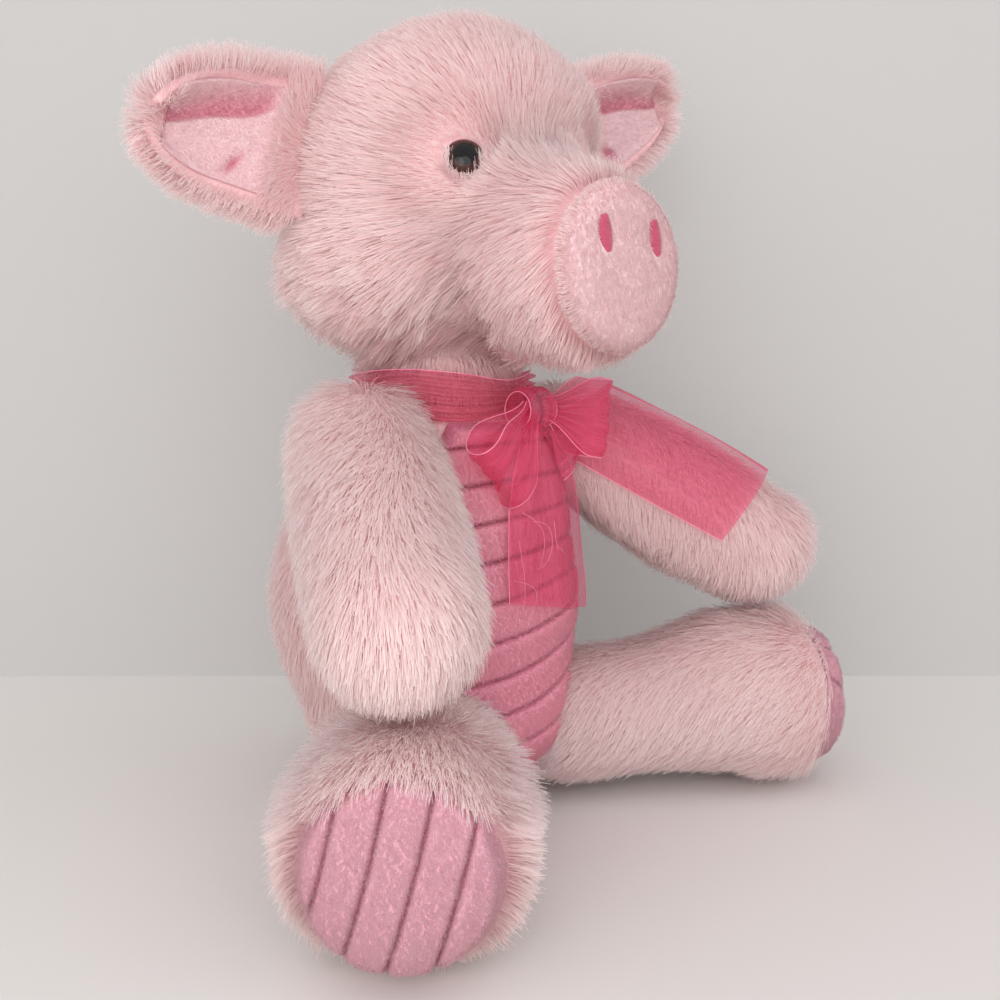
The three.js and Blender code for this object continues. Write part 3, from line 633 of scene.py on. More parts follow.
def head_pile(points):
    own, to_snout, eye_gap = face_parts(points)
    crown = ramp(own[:, 2], 40, 78)
    length = HEAD_PILE - 6.0 * crown + 6.0 * jowl(own)
    length = length * (1 - 0.3 * muzzle(own))
    return length * (0.36 + 0.64 * ramp(eye_gap, 6.5, 18))


# %% The tummy panel's outline and the soles' place
# The panel's outline: its half widths at rising levels.
PANEL_LEVELS = np.array([11.0, 38, 66, 92, 112, 127])
PANEL_HALVES = np.array([0.0, 24, 32, 33, 30, 19])
SOLE_RADIUS = 23.5
SOLE_DROP = np.array([0, 0, 4.0])


def on_panel(points, spread=0.0):
    """How far inside the panel's edge a point lies, seen from the front."""
    half = np.interp(points[:, 2], PANEL_LEVELS, PANEL_HALVES)
    side = half + spread - np.abs(points[:, 0])
    low = points[:, 2] - PANEL_LEVELS[0] + spread
    high = PANEL_LEVELS[-1] + spread - points[:, 2]
    return np.where(points[:, 1] < 8, np.minimum(side, np.minimum(low, high)), -50)


def from_sole(leg, points):
    offset = points - leg.root + SOLE_DROP
    along = offset @ leg.aim
    away = np.linalg.norm(offset - along[:, None] * leg.aim, axis=1)
    return np.where(along > leg.length - 2, away, 200)


# %% How deep each skin lies under its form
PILE_SHARE = 0.6
GROUND = 1.0
COLLAR_HEIGHT, COLLAR_RADIUS, COLLAR_HALF = 134, 24.5, 6
TORSO_TOP = 138.4
HIP_SOCKET = 18.0
BROW_FULLNESS = 6.5
ARM_SKIN_DEPTH = 5.8


def torso_skin(points):
    depth = 3.4 + 4.6 * ramp(-on_panel(points), -1, 6)
    shape = torso_distance(points) + depth
    ground = GROUND - points[:, 2]
    top = points[:, 2] - TORSO_TOP
    collar = COLLAR_RADIUS - np.hypot(points[:, 0], points[:, 1] - NECK[1])
    groove = np.where(np.abs(points[:, 2] - COLLAR_HEIGHT) < COLLAR_HALF, -collar, -50)
    sockets = [HIP_SOCKET - np.linalg.norm(points - leg.root, axis=1) for leg in legs.values()]
    neck = NECK_FIT - np.linalg.norm(points - NECK, axis=1)
    return np.max([shape, ground, top, groove, neck, *sockets], axis=0)


def head_skin(points):
    own, to_snout, _ = face_parts(points)
    depth = (PILE_SHARE - 0.2 * muzzle(own)) * head_pile(points) - BROW_FULLNESS * brow(own)
    depth = np.where(own[:, 1] < -50, depth * ramp(to_snout, 18, 27) + 0.4, depth)
    shape = head_distance(points) + depth
    flat = -own[:, 1] - SNOUT_FRONT
    bottom = 3.4 - own[:, 2]
    neck = NECK_FIT - np.linalg.norm(points - NECK, axis=1)
    return np.max([shape, flat, bottom, neck], axis=0)


def arm_skin(arm):
    return lambda points: arm.distance(points) + ARM_SKIN_DEPTH


def leg_skin(leg):
    def field(points):
        depth = 0.5 + 5.3 * ramp(from_sole(leg, points), SOLE_RADIUS - 1.5, SOLE_RADIUS + 5)
        return np.maximum(leg.distance(points) + depth, GROUND - points[:, 2])
    return field


# %% Blowing out and stuffing
CLOTH_STEPS = 12
FILLING_PRESSURE = 4
STUFFED_GRID = 3.0
MOST_SWELL = 1.2


def blown(name, field, middle, reach, detail=6):
    bpy.ops.object.select_all(action="DESELECT")
    bpy.ops.mesh.primitive_ico_sphere_add(subdivisions=detail, radius=1)
    piece = bpy.context.object
    piece.name = name
    aims = unit(points_of(piece))
    starts = np.tile(np.asarray(middle, float), (len(aims), 1))
    move_points(piece, starts + aims * reach_along(field, starts, aims, reach)[:, None])
    return piece


def stuffed(piece):
    use_modifier(piece, "REMESH", mode="VOXEL", voxel_size=STUFFED_GRID * MM)
    use_modifier(piece, "SMOOTH", factor=0.5, iterations=3)
    before = points_of(piece)
    cloth = piece.modifiers.new("filling pressure", "CLOTH")
    cloth.settings.use_pressure = True
    cloth.settings.uniform_pressure_force = FILLING_PRESSURE
    cloth.settings.effector_weights.gravity = 0
    for step in range(1, CLOTH_STEPS + 1):
        bpy.context.scene.frame_set(step)
    swollen = piece.evaluated_get(bpy.context.evaluated_depsgraph_get())
    moved = points_of(swollen) - before
    far = np.linalg.norm(moved, axis=1, keepdims=True)
    piece.modifiers.remove(cloth)
    bpy.context.scene.frame_set(1)
    move_points(piece, before + moved * np.minimum(1, MOST_SWELL / np.maximum(far, 1e-6)))
    smooth(piece)
    return piece


# %% The six skins
skins = {
    "torso": stuffed(blown("torso_plush", torso_skin, (0, 8, 70), 240)),
    "head": stuffed(blown("head_plush", head_skin, from_head([SKULL])[0], 190)),
}
for side in SIDES:
    arm, leg = arms[side], legs[side]
    skins["arm_" + side] = stuffed(blown(f"arm_plush_{side}", arm_skin(arm), arm.root + arm.run / 2, 90, 5))
    skins["leg_" + side] = stuffed(blown(f"leg_plush_{side}", leg_skin(leg), leg.root + 0.6 * leg.run, 90, 5))
for part, skin in skins.items():
    body = part if part in ("torso", "head") else "_".join(reversed(part.split("_")))
    node = part + "_skin" if part in ("torso", "head") else part
    put_on(skin, body, backing, [node])
print("skin corners:", {part: len(skin.data.vertices) for part, skin in skins.items()})

# %% [markdown]
# ## Fur
# The real pile is 12 to 14 mm of fine polyester, combed down and drawn into tufts. Blender's own hair would
# be the easy way, but it can't be taken out as a mesh. So each small bundle of fibres is a thin blade of
# three triangles. Roots are spread evenly over the skin, blades lie along the way the pile is combed, and
# neighbours draw together into tufts.

# %% Spreading roots
def roots_on(piece, per_mm2, carried=()):
    """Spreads roots evenly over a piece and carries the named attributes to them."""
    mesh = piece.data
    mesh.calc_loop_triangles()
    corners = read(mesh.loop_triangles, "vertices", 3, int)
    normals = read(mesh.vertex_normals, "vector", 3)
    points = points_of(piece)
    a, b, c = (points[corners[:, i]] for i in range(3))
    area = np.linalg.norm(np.cross(b - a, c - a), axis=1) / 2
    count = int(area.sum() * per_mm2)
    level = (np.arange(count) + dice.random(count)) / count
    chosen = np.searchsorted(np.cumsum(area) / area.sum(), level)
    chosen = np.minimum(chosen, len(area) - 1)
    share = np.sqrt(dice.random(count))[:, None]
    slide = dice.random(count)[:, None]
    weights = [1 - share, share * (1 - slide), share * slide]
    place = sum(w * points[corners[chosen, i]] for i, w in enumerate(weights))
    facing = sum(w * normals[corners[chosen, i]] for i, w in enumerate(weights))
    mixed = {}
    for key in carried:
        values = read(mesh.attributes[key].data, "value")
        mixed[key] = sum(w[:, 0] * values[corners[chosen, i]] for i, w in enumerate(weights))
    return place, unit(facing), mixed


def tuft_numbers(points, size):
    """Numbers the tufts: a grid of cells, warped so that no rows show."""
    warped = points + 0.5 * size * np.sin(points[:, [1, 2, 0]] * 1.9 / size + (0.3, 1.7, 2.9))
    warped = warped + 0.3 * size * np.sin(points[:, [2, 0, 1]] * 3.7 / size + (2.1, 0.4, 1.2))
    _, numbers = np.unique(np.floor(warped / size).astype(int), axis=0, return_inverse=True)
    return numbers.ravel()


# %% Blades as one mesh
def strand_mesh(name, rings, tones, facing, width, look, body, groove_shades=None, short=False):
    """rings: root, middle and tip points of each blade. A short blade is one triangle and needs no middle."""
    root, middle, tip = rings
    run = unit(tip - root)
    across = unit(np.cross(run, facing))
    roll = dice.normal(0, 0.2 if short else 0.45, len(root))[:, None]
    across = across * np.cos(roll) + np.cross(run, across) * np.sin(roll)
    half = 0.5 * np.broadcast_to(np.asarray(width, float).reshape(-1, 1), (len(root), 1))
    if short:
        points = np.stack([root, tip - across * half, tip + across * half], axis=1)
        pattern, shares = np.array([0, 2, 1]), [0, 1.0, 1.0]
        corner_u, corner_v = np.array([0.5, 0.15, 0.85]), np.array([0.1, 0.9, 0.9])
    else:
        points = np.stack([
            root, middle - across * half, middle + across * half,
            tip - across * half * 0.7, tip + across * half * 0.7,
        ], axis=1)
        pattern, shares = np.array([0, 2, 1, 1, 2, 4, 1, 4, 3]), [0, 0.5, 0.5, 1.0, 1.0]
        corner_u, corner_v = np.array([0.5, 0.15, 0.85, 0.15, 0.85]), np.array([0.1, 0.5, 0.5, 0.9, 0.9])
    each, faces = len(shares), len(pattern) // 3
    points[:, :, 2] = np.maximum(points[:, :, 2], 0.25 + 0.3 * dice.random((len(root), 1)))
    count = len(root)
    mesh = bpy.data.meshes.new(name)
    mesh.vertices.add(each * count)
    mesh.vertices.foreach_set("co", (points * MM).ravel())
    corners = (each * np.arange(count)[:, None] + pattern).ravel()
    mesh.loops.add(3 * faces * count)
    mesh.loops.foreach_set("vertex_index", corners)
    mesh.polygons.add(faces * count)
    mesh.polygons.foreach_set("loop_start", 3 * np.arange(faces * count))
    mesh.update(calc_edges=True)
    piece = add_piece(name, mesh)
    write_attribute(piece, "along", np.tile(shares, count))
    write_attribute(piece, "tone", np.repeat(tones, each))
    # The groove attribute carries painted shade from the sheet that the blades stand on.
    if groove_shades is not None:
        write_attribute(piece, "groove", np.repeat(groove_shades, each))
    cells = int(math.ceil(math.sqrt(count)))
    u = (np.arange(count)[:, None] % cells + corner_u) / cells
    v = (np.arange(count)[:, None] // cells + corner_v) / cells
    bake = mesh.uv_layers.new(name="OFBake")
    bake.data.foreach_set("uv", np.stack([u.ravel()[corners], v.ravel()[corners]], axis=1).ravel())
    lit = unit(np.cross(across, run) * (0.12 if short else 0.45) + facing * 0.8)
    mesh.normals_split_custom_set_from_vertices(np.repeat(lit, each, axis=0))
    put_on(piece, body, look)


# %% Combing
def combed(points, normals, flow, length, lean=(0.8, 1.34), tuft=4.0, gather=0.25, unruly=0.16, wild=0.25,
           pale=0.5, upright=0.0):
    """lean: how far a blade's lower and upper half tip over, in radians. wild: 0 brushed, 1 tousled."""
    wild = np.broadcast_to(wild, len(points))
    flow = unit(flow - (flow * normals).sum(1, keepdims=True) * normals)
    numbers = tuft_numbers(points, tuft)
    tufts = numbers.max() + 1
    turn = wild * dice.normal(0, unruly, tufts)[numbers] + dice.normal(0, 0.13, len(points))
    turn = turn[:, None]
    flow = flow * np.cos(turn) + np.cross(normals, flow) * np.sin(turn)
    lift = (wild * dice.normal(0, 0.14, tufts)[numbers] + dice.normal(0, 0.08, len(points)))[:, None]
    size = np.broadcast_to(length, len(points)) * (1 + wild * dice.normal(0, 0.08, tufts)[numbers])
    size = (size * dice.uniform(0.8, 1.08, len(points)))[:, None]
    upright = np.broadcast_to(upright, len(points))[:, None]
    first, second = lean[0] + lift - upright, lean[1] + 1.3 * lift - upright
    root = points - 0.4 * normals
    middle = root + 0.5 * size * (np.cos(first) * normals + np.sin(first) * flow)
    tip = middle + 0.5 * size * (np.cos(second) * normals + np.sin(second) * flow)
    members = np.bincount(numbers, minlength=tufts)
    centres = np.stack([np.bincount(numbers, tip[:, i], tufts) / members for i in range(3)], axis=1)
    centre = centres[numbers]
    pull = (wild * gather * dice.uniform(0.6, 1.3, len(points)))[:, None]
    tip = tip + pull * (centre - tip)
    middle = middle + 0.35 * pull * (centre - tip)
    # pale lifts the tone of a whole coat: painted light, higher on parts that face the lamps.
    tones = pale + wild * dice.normal(0, 0.16, tufts)[numbers] + dice.normal(0, 0.2, len(points))
    return (root, middle, tip), np.clip(tones, 0, 1)


# %% A coat of fur
BLADE_WIDTH = 0.19
SKIN_BLADES = 4.3


def at_roots(value, points):
    return value(points) if callable(value) else value


def coat(name, skin, body, keep, flow, length, per_mm2=SKIN_BLADES, parts=1, wild=0.25, upright=0.0, **comb):
    """Grows long pile. length, wild and upright are numbers, or functions of the roots' places."""
    points, normals, _ = roots_on(skin, per_mm2)
    if keep is not None:
        kept = keep(points, normals)
        points, normals = points[kept], normals[kept]
    (root, middle, tip), tones = combed(
        points, normals, flow(points, normals), at_roots(length, points), wild=at_roots(wild, points),
        upright=at_roots(upright, points), **comb,
    )
    order = np.argsort(points[:, 0], kind="stable")
    for number, some in enumerate(np.array_split(order, parts)):
        label = name if parts == 1 else f"{name}_{number + 1}"
        rings = (root[some], middle[some], tip[some])
        strand_mesh(label, rings, tones[some], normals[some], BLADE_WIDTH, long_pile, body)
    print(name, "blades:", len(points))


# %% Torso fur
TORSO_PILE = 13.5


def torso_keep(points, normals):
    hidden = [limb.distance(points) < 3 for limb in arms.values()]
    hidden += [leg.distance(points) < 1 for leg in legs.values()]
    hidden.append(on_panel(points, 0.5) > 0)
    hidden.append(points[:, 2] > 130)
    hidden.append(points[:, 2] < 1.4)
    return ~np.any(hidden, axis=0)


def torso_flow(points, normals):
    return -UP + swirl(points, 17, 0.25)


def torso_length(points):
    return TORSO_PILE - 6 * ramp(points[:, 2], 116, 128) - 4 * ramp(on_panel(points, 6), 0, 6)


coat("torso_fur", skins["torso"], "torso", torso_keep, torso_flow, torso_length, parts=2)

# %% Head fur
def head_keep(points, normals):
    own, to_snout, eye_gap = face_parts(points)
    under_pad = (own[:, 1] < -60) & (to_snout < 20.5)
    socket = np.linalg.norm(points - NECK, axis=1) < NECK_RADIUS + 4
    bottom = (own[:, 2] < 5) & (np.hypot(points[:, 0], points[:, 1] - NECK[1]) < 30)
    eye = eye_gap < 5.7
    return ~(under_pad | socket | bottom | eye)


def head_flow(points, normals):
    """The pile runs away from the snout, hangs down at the cheeks and turns under at the nape."""
    own = in_head(points)
    flow = unit(own - (0, -SNOUT_FRONT, SNOUT_HEIGHT + 4)) @ TURN.T
    low = (0.5 * ramp(own[:, 2], 60, 32) + 0.5 * ramp(own[:, 2], 22, 6))[:, None]
    flow = flow + low * (0, 0.15, -0.9)
    behind = ramp(own[:, 1], -14, 30)[:, None]
    to_nape = (0, 0.2, -1.2) + ramp(own[:, 2], 18, 6)[:, None] * (0, -0.9, 0)
    return (1 - behind) * flow + behind * to_nape + swirl(points, 13, 0.25, 1)


def head_wild(points):
    own = in_head(points)
    calm = (1 - 0.65 * muzzle(own)) * (1 - 0.75 * ramp(own[:, 1], -5, 25))
    return 0.22 + 0.85 * ramp(own[:, 2], 46, 24) * calm


def head_upright(points):
    own = in_head(points)
    bridge = 0.5 * ramp(own[:, 1], -34, -48) * ramp(own[:, 2], 44, 58)
    return bridge + 0.5 * jowl(own) - 0.16 * muzzle(own) * (1 - ramp(own[:, 2], 44, 58))


# The head's pile is painted paler than the torso's, as painted light.
coat("head_fur", skins["head"], "head", head_keep, head_flow, head_pile, parts=4, wild=head_wild,
     upright=head_upright, pale=0.6)

# %% Arm fur
# How pale each limb's pile is painted, as painted light: palest on the pig's right, which faces the lamps. And
# a light stroke towards the pig's right.
LIMB_PAINTED_LIGHT = {"arm_right": 0.85, "arm_left": 0.7, "leg_right": 0.9, "leg_left": 0.75}
SIDEWAYS = (0.25, 0, 0)
ARM_PILE = 13


def arm_keep(points, normals):
    return torso_distance(points) > -3


def arm_flow(arm):
    return lambda points, normals: 0.2 * arm.aim - 0.8 * UP + swirl(points, 12, 0.3, 2) - SIDEWAYS


def arm_pile(side):
    """The ribbon's tail flattens the pile on the left arm. Beside the body both arms' pile is shorter."""
    def length(points):
        limb = arms[side]
        along, across, _ = limb.parts(points)
        top = across @ unit(np.cross(np.cross(limb.aim, UP), limb.aim))
        under_ribbon = ramp(top, -8, -2) * ramp(along, limb.length, limb.length - 8) * (side == "left")
        beside_panel = ramp(torso_distance(points), 12, 3)
        return ARM_PILE * (1 - 0.22 * under_ribbon) * (1 - 0.3 * beside_panel)
    return length


# %% Leg fur
LEG_PILE = 12.0


def over_sole(leg, points):
    """Where the right foot's pile is brushed forward over the sole's upper edge."""
    along, across, _ = leg.parts(points)
    brushed = 1 if leg is legs["right"] else 0
    return brushed * ramp(unit(across)[:, 2], 0.2, 0.7) * ramp(along, leg.length - 12, leg.length + 4)


def leg_upright(leg):
    def upright(points):
        forward = over_sole(leg, points)
        past_end = ramp((points - leg.root) @ leg.aim, leg.length + 8, leg.length + 18)
        return 0.15 * past_end + 2.2 * forward * (1 - forward)
    return upright


def leg_flow(leg):
    def flow(points, normals):
        along, across, _ = leg.parts(points)
        rim = 0.45 * ramp(along, leg.length + 2, leg.length + 20)[:, None]
        on_top = over_sole(leg, points)[:, None]
        combed_back = -0.6 * leg.aim - 0.5 * UP + swirl(points, 12, 0.3, 2) - SIDEWAYS
        over_edge = leg.aim - 0.6 * UP
        return (1 - on_top) * (rim * unit(across) + (1 - rim) * combed_back) + on_top * over_edge
    return flow


def leg_pile(points):
    return LEG_PILE * (1 - 0.45 * ramp(points[:, 2], 16, 5))


def leg_keep(leg):
    def keep(points, normals):
        buried = torso_distance(points) < -5
        return ~(buried | (from_sole(leg, points) < SOLE_RADIUS - 0.5) | (points[:, 2] < 1.4))
    return keep


# %% Arms and legs, side by side
for side in SIDES:
    arm, leg = arms[side], legs[side]
    coat(f"arm_fur_{side}", skins["arm_" + side], side + "_arm", arm_keep, arm_flow(arm), arm_pile(side),
         parts=2, lean=(0.92, 1.4), wild=0.12, pale=LIMB_PAINTED_LIGHT["arm_" + side])
    coat(f"leg_fur_{side}", skins["leg_" + side], side + "_leg", leg_keep(leg), leg_flow(leg), leg_pile,
         parts=2, lean=(0.92, 1.4), wild=0.14, pale=LIMB_PAINTED_LIGHT["leg_" + side], upright=leg_upright(leg))

# %% [markdown]
# ## Ribbed velour
# The tummy panel and the soles are cut from one wide-rib velour. The ribs are rows of soft pile with narrow
# sewn grooves between them. A picture of ribs would stay flat at the edge, so each sheet follows its form
# and rises and falls with the ribs, and short blades of pile stand on it.

# %% Sheets that follow a form
FRONT_START = 8.0


def grid_sheet(name, across, along, place):
    """A flat grid whose corners run from -1 to 1 each way, put in place by a function of the two."""
    bpy.ops.object.select_all(action="DESELECT")
    bpy.ops.mesh.primitive_grid_add(x_subdivisions=across, y_subdivisions=along, size=2)
    piece = bpy.context.object
    piece.name = name
    flat = points_of(piece) * MM
    move_points(piece, place(flat[:, 0], flat[:, 1]))
    return piece, flat[:, 0], flat[:, 1]


def rib_shape(phase):
    """Height of a rib from 0 to 1, and how deep in the groove a point is."""
    gap = np.abs((phase + 0.5) % 1 - 0.5)
    return 1 - (1 - np.minimum(gap / 0.5, 1)) ** 8, np.exp(-((gap / 0.045) ** 2))


def front_of(distance, x, z, level):
    """The points at x and z, seen from the front, that lie the given level above a form."""
    starts = np.stack([x, np.full(len(x), FRONT_START), z], axis=1)
    aims = np.tile([0.0, -1.0, 0.0], (len(x), 1))
    reach = reach_along(lambda points: distance(points) - level, starts, aims, 80, 60)
    return starts + aims * reach[:, None]


# %% Tummy panel
RIB_PITCH = 11.3
RIB_HEIGHT = 2.5
heights = np.linspace(PANEL_LEVELS[0], PANEL_LEVELS[-1], 200)
middle_line = front_of(torso_distance, np.zeros(200), heights, -1.5)
climbed = np.concatenate([[0], np.cumsum(np.linalg.norm(np.diff(middle_line, axis=0), axis=1))])
panel_groove_shade = {}


def panel_place(u, v):
    z = PANEL_LEVELS[0] + 0.6 + (PANEL_LEVELS[-1] - PANEL_LEVELS[0] - 0.8) * (v + 1) / 2
    half = np.maximum(np.interp(z, PANEL_LEVELS, PANEL_HALVES), 2) + 0.8
    x = u * half
    slant = 0.22 - 0.16 * ramp(z, 30, 90)
    phase = (np.interp(z, heights, climbed) - slant * x + 1.2 * np.sin(x / 19 + z / 23)) / RIB_PITCH
    rib, groove = rib_shape(phase)
    edge = ramp(np.minimum((1 - np.abs(u)) * half, (1 - np.abs(v)) * 58), 0, 3.5)
    level = -2.8 + RIB_HEIGHT * rib * edge
    # Painted shade: darker in each groove and towards the panel's edge, where it dips under the fur.
    panel_groove_shade["groove"] = np.clip(groove + 0.8 * (1 - edge), 0, 1)
    return front_of(torso_distance, x, z, level)


panel, _, _ = grid_sheet("tummy_velour", 64, 230, panel_place)
write_attribute(panel, "groove", panel_groove_shade["groove"])
face_towards(panel, (0, -1, 0))
smooth(panel)
print("ribs on the tummy:", round(climbed[-1] / RIB_PITCH, 1))

# %% Soles
SOLE_PITCH = 10.3
SOLE_TILT_DEGREES = {"right": 15, "left": -12}
sole_sheets = {}
for side, leg in legs.items():
    middle = leg.root - SOLE_DROP
    sideways = unit(np.cross(UP, leg.aim))
    upwards = np.cross(leg.aim, sideways)
    tilt = math.radians(SOLE_TILT_DEGREES[side])
    sole_groove_shade = {}

    def sole_place(a, b, leg=leg, middle=middle, sideways=sideways, upwards=upwards, tilt=tilt, sole_groove_shade=sole_groove_shade):
        u = a * np.sqrt(1 - b * b / 2)
        v = b * np.sqrt(1 - a * a / 2)
        away = np.hypot(u, v)
        phase = (SOLE_RADIUS * (u * math.cos(tilt) - v * math.sin(tilt) + 0.05 * v * v) + 6.9) / SOLE_PITCH
        rib, groove = rib_shape(phase)
        size = SOLE_RADIUS * (1 + 0.035 * rib * away)
        edge = ramp((1 - away) * SOLE_RADIUS, 0, 3.0)
        level = -0.3 + 0.6 * edge + RIB_HEIGHT * rib * edge
        # Painted shade in the grooves, fading out at the sole's rim.
        sole_groove_shade["groove"] = np.clip(groove * ramp((1 - away) * SOLE_RADIUS, 0.0, 2.5), 0, 1)
        starts = middle + (size * u)[:, None] * sideways + (size * v)[:, None] * upwards + 30 * leg.aim
        aims = np.tile(leg.aim, (len(u), 1))
        reach = reach_along(lambda points: leg.distance(points) - level, starts, aims, 80, 60)
        placed = starts + aims * reach[:, None]
        placed[:, 2] = np.maximum(placed[:, 2], 0.9)
        return placed

    sole, _, _ = grid_sheet(f"sole_velour_{side}", 90, 90, sole_place)
    write_attribute(sole, "groove", sole_groove_shade["groove"])
    face_towards(sole, leg.aim)
    smooth(sole)
    sole_sheets[side] = sole


# %% Short pile that stands on a sheet
def short_pile(name, piece, body, look, per_mm2, length, width=0.16, flow=(0, 0, -1), lean=(0.5, 1.0),
               unruly=0.6, keep=None):
    points, normals, mixed = roots_on(piece, per_mm2, ("groove",))
    groove_shades = mixed["groove"]
    if keep is not None:
        kept = keep(points)
        points, normals, groove_shades = points[kept], normals[kept], groove_shades[kept]
    rings, tones = combed(
        points, normals, np.tile(np.asarray(flow, float), (len(points), 1)), length, lean=lean, tuft=1.6,
        gather=0.12, unruly=unruly, wild=0.45,
    )
    strand_mesh(name, rings, tones, normals, width, look, body, groove_shades, short=True)
    print(name, "blades:", len(points))


short_pile("tummy_pile", panel, "torso", tummy_pile_look, 9.0, 1.5)
use_modifier(panel, "SOLIDIFY", thickness=1.2 * MM, offset=-1)
put_on(panel, "torso", ribbed_velour, ["tummy_panel"])
for side, sole in sole_sheets.items():
    body = side + "_leg"
    short_pile(f"sole_pile_{side}", sole, body, sole_pile_look, 12.0, 1.5, width=0.15, unruly=0.7)
    use_modifier(sole, "SOLIDIFY", thickness=0.9 * MM, offset=-1)
    put_on(sole, body, sole_velour, ["sole_pad_" + side])

# %% [markdown]
# ## Snout and nostrils
# The real snout is a padded disc of short smooth pile with two embroidered nostrils. A cylinder with a
# bevel would look turned on a lathe. So the disc is blown out like a skin, against a rounded form with a
# dent for each nostril.

# %% Snout disc
SNOUT_RADIUS = 22.5
SNOUT_DEPTH = 4.9
NOSTRIL_OUT, NOSTRIL_UP = 9.8, 8


def snout_share(own):
    """0 in the middle of the disc, 1 at its rim."""
    return np.hypot(own[:, 0], own[:, 2] - SNOUT_HEIGHT) / SNOUT_RADIUS


def snout_form(points):
    own = in_head(points)
    across = snout_share(own)
    depth = -own[:, 1] - SNOUT_FRONT
    up = (own[:, 2] - SNOUT_HEIGHT - NOSTRIL_UP) ** 2
    dents = sum(np.exp(-((own[:, 0] - sign * NOSTRIL_OUT) ** 2 + up) / 22) for sign in SIDES.values())
    front = across ** 3.2 + (np.maximum(depth, 0) / (SNOUT_DEPTH - dents)) ** 2.2 - 1
    return np.where(depth >= 0, front, np.maximum(across - 1, -depth - 0.9))


snout = blown("snout_disc", snout_form, from_head([(0, -SNOUT_FRONT - 0.2, SNOUT_HEIGHT)])[0], 30, 5)
# Painted shade round the disc's rim, where it meets the fur.
write_attribute(snout, "groove", 0.2 * ramp(snout_share(in_head(points_of(snout))), 0.86, 1.0))
smooth(snout)
put_on(snout, "head", snout_velour, ["snout_pad"])


# %% Snout pile
def off_nostrils(points):
    own = in_head(points)
    up = (own[:, 2] - SNOUT_HEIGHT - NOSTRIL_UP) / 4.8
    near = [np.hypot((own[:, 0] - sign * NOSTRIL_OUT) / 2.6, up) for sign in SIDES.values()]
    return (np.min(near, axis=0) > 0.88) & (own[:, 1] < -SNOUT_FRONT + 1)


def snout_rim(points, normals):
    own = in_head(points)
    return (snout_share(own) + dice.normal(0, 0.04, len(points)) > 0.9) & (own[:, 1] < -SNOUT_FRONT + 0.6)


def snout_outwards(points, normals):
    return ((in_head(points) - (0, 0, SNOUT_HEIGHT)) * (0.45, 0, 0.45) + (0, 9, 0)) @ TURN.T


short_pile("snout_pile", snout, "head", snout_pile_look, 11.0, 2.3, width=0.15, flow=(0, 0.2, -1),
           lean=(0.95, 1.35), unruly=0.2, keep=off_nostrils)
coat("snout_rim_fur", snout, "head", snout_rim, snout_outwards, 3.4, per_mm2=9, lean=(1.3, 1.6))


# %% Threads
def threads(name, paths, radius, sides=6):
    """Round threads along paths, closed at both ends, as one piece."""
    points, faces = [], []
    for path in paths:
        path = np.asarray(path, float)
        runs = unit(np.gradient(path, axis=0))
        first = unit(np.cross(runs, (0.31, 0.52, 0.79)))
        second = np.cross(runs, first)
        turns = 2 * math.pi * np.arange(sides) / sides
        ring = first[:, None] * np.cos(turns)[:, None] + second[:, None] * np.sin(turns)[:, None]
        start = len(points)
        points.extend((path[:, None] + radius * ring).reshape(-1, 3))
        for i in range(len(path) - 1):
            for k in range(sides):
                low, high = start + i * sides, start + (i + 1) * sides
                faces.append((low + k, low + (k + 1) % sides, high + (k + 1) % sides, high + k))
        faces.append([start + k for k in range(sides)][::-1])
        faces.append([start + (len(path) - 1) * sides + k for k in range(sides)])
    mesh = bpy.data.meshes.new(name)
    mesh.from_pydata((np.array(points) * MM).tolist(), [], faces)
    piece = add_piece(name, mesh)
    start_edit(piece)
    end_edit()
    smooth(piece, 60)
    return piece


# %% Nostrils, in rows of satin stitch
STITCHES = 19
NOSTRIL_HALF_WIDTH, NOSTRIL_HALF_HEIGHT = 2.2, 4.5
FLOSS_RADIUS = 0.34

for side, sign in SIDES.items():
    stitches = []
    for row in np.linspace(-NOSTRIL_HALF_HEIGHT, NOSTRIL_HALF_HEIGHT, STITCHES):
        half = NOSTRIL_HALF_WIDTH * math.sqrt(1 - (row / (NOSTRIL_HALF_HEIGHT + 0.4)) ** 2)
        share = np.linspace(-1, 1, 9)
        bow = np.sqrt(np.maximum(1 - share ** 2, 0))
        x = sign * NOSTRIL_OUT + share * half - 0.18 * row
        z = SNOUT_HEIGHT + NOSTRIL_UP + row + 0.25 * share
        stitches.append(from_head(np.stack([x, -SNOUT_FRONT - 3.7 - 1.1 * bow, z], axis=1)))
    nostril = threads(f"nostril_stitches_{side}", stitches, FLOSS_RADIUS)
    put_on(nostril, "head", satin_thread, ["nostril_" + side])
print("stitches in a nostril:", STITCHES)


# %% [markdown]
# ## Eyes
# Safety eyes are moulded in one piece: a polished dome and a shank that goes through the skin to a lock
# washer. A half profile spun round its axis gives the whole of it at once, as a lathe would. The pile is
# trimmed short round the eye, so a few blades are set there to lean over its edge.

# %% Turn an eye on its axis
EYE_RADIUS = 6
DOME_HEIGHT = 4.6
SHANK_LENGTH = 13


def turned(name, profile, origin, axis, steps=40):
    mesh = bpy.data.meshes.new(name)
    edges = [(i, i + 1) for i in range(len(profile) - 1)]
    mesh.from_pydata([(across * MM, 0, high * MM) for across, high in profile], edges, [])
    piece = add_piece(name, mesh)
    start_edit(piece)
    bpy.ops.mesh.spin(steps=steps, angle=2 * math.pi, center=(0, 0, 0), axis=(0, 0, 1))
    bpy.ops.mesh.select_all(action="SELECT")
    bpy.ops.mesh.remove_doubles(threshold=0.000002)
    end_edit()
    turn = np.array(Vector((0, 0, 1)).rotation_difference(Vector(axis)).to_matrix())
    local = points_of(piece)
    move_points(piece, local @ turn.T + origin)
    smooth(piece, 50)
    return piece, local


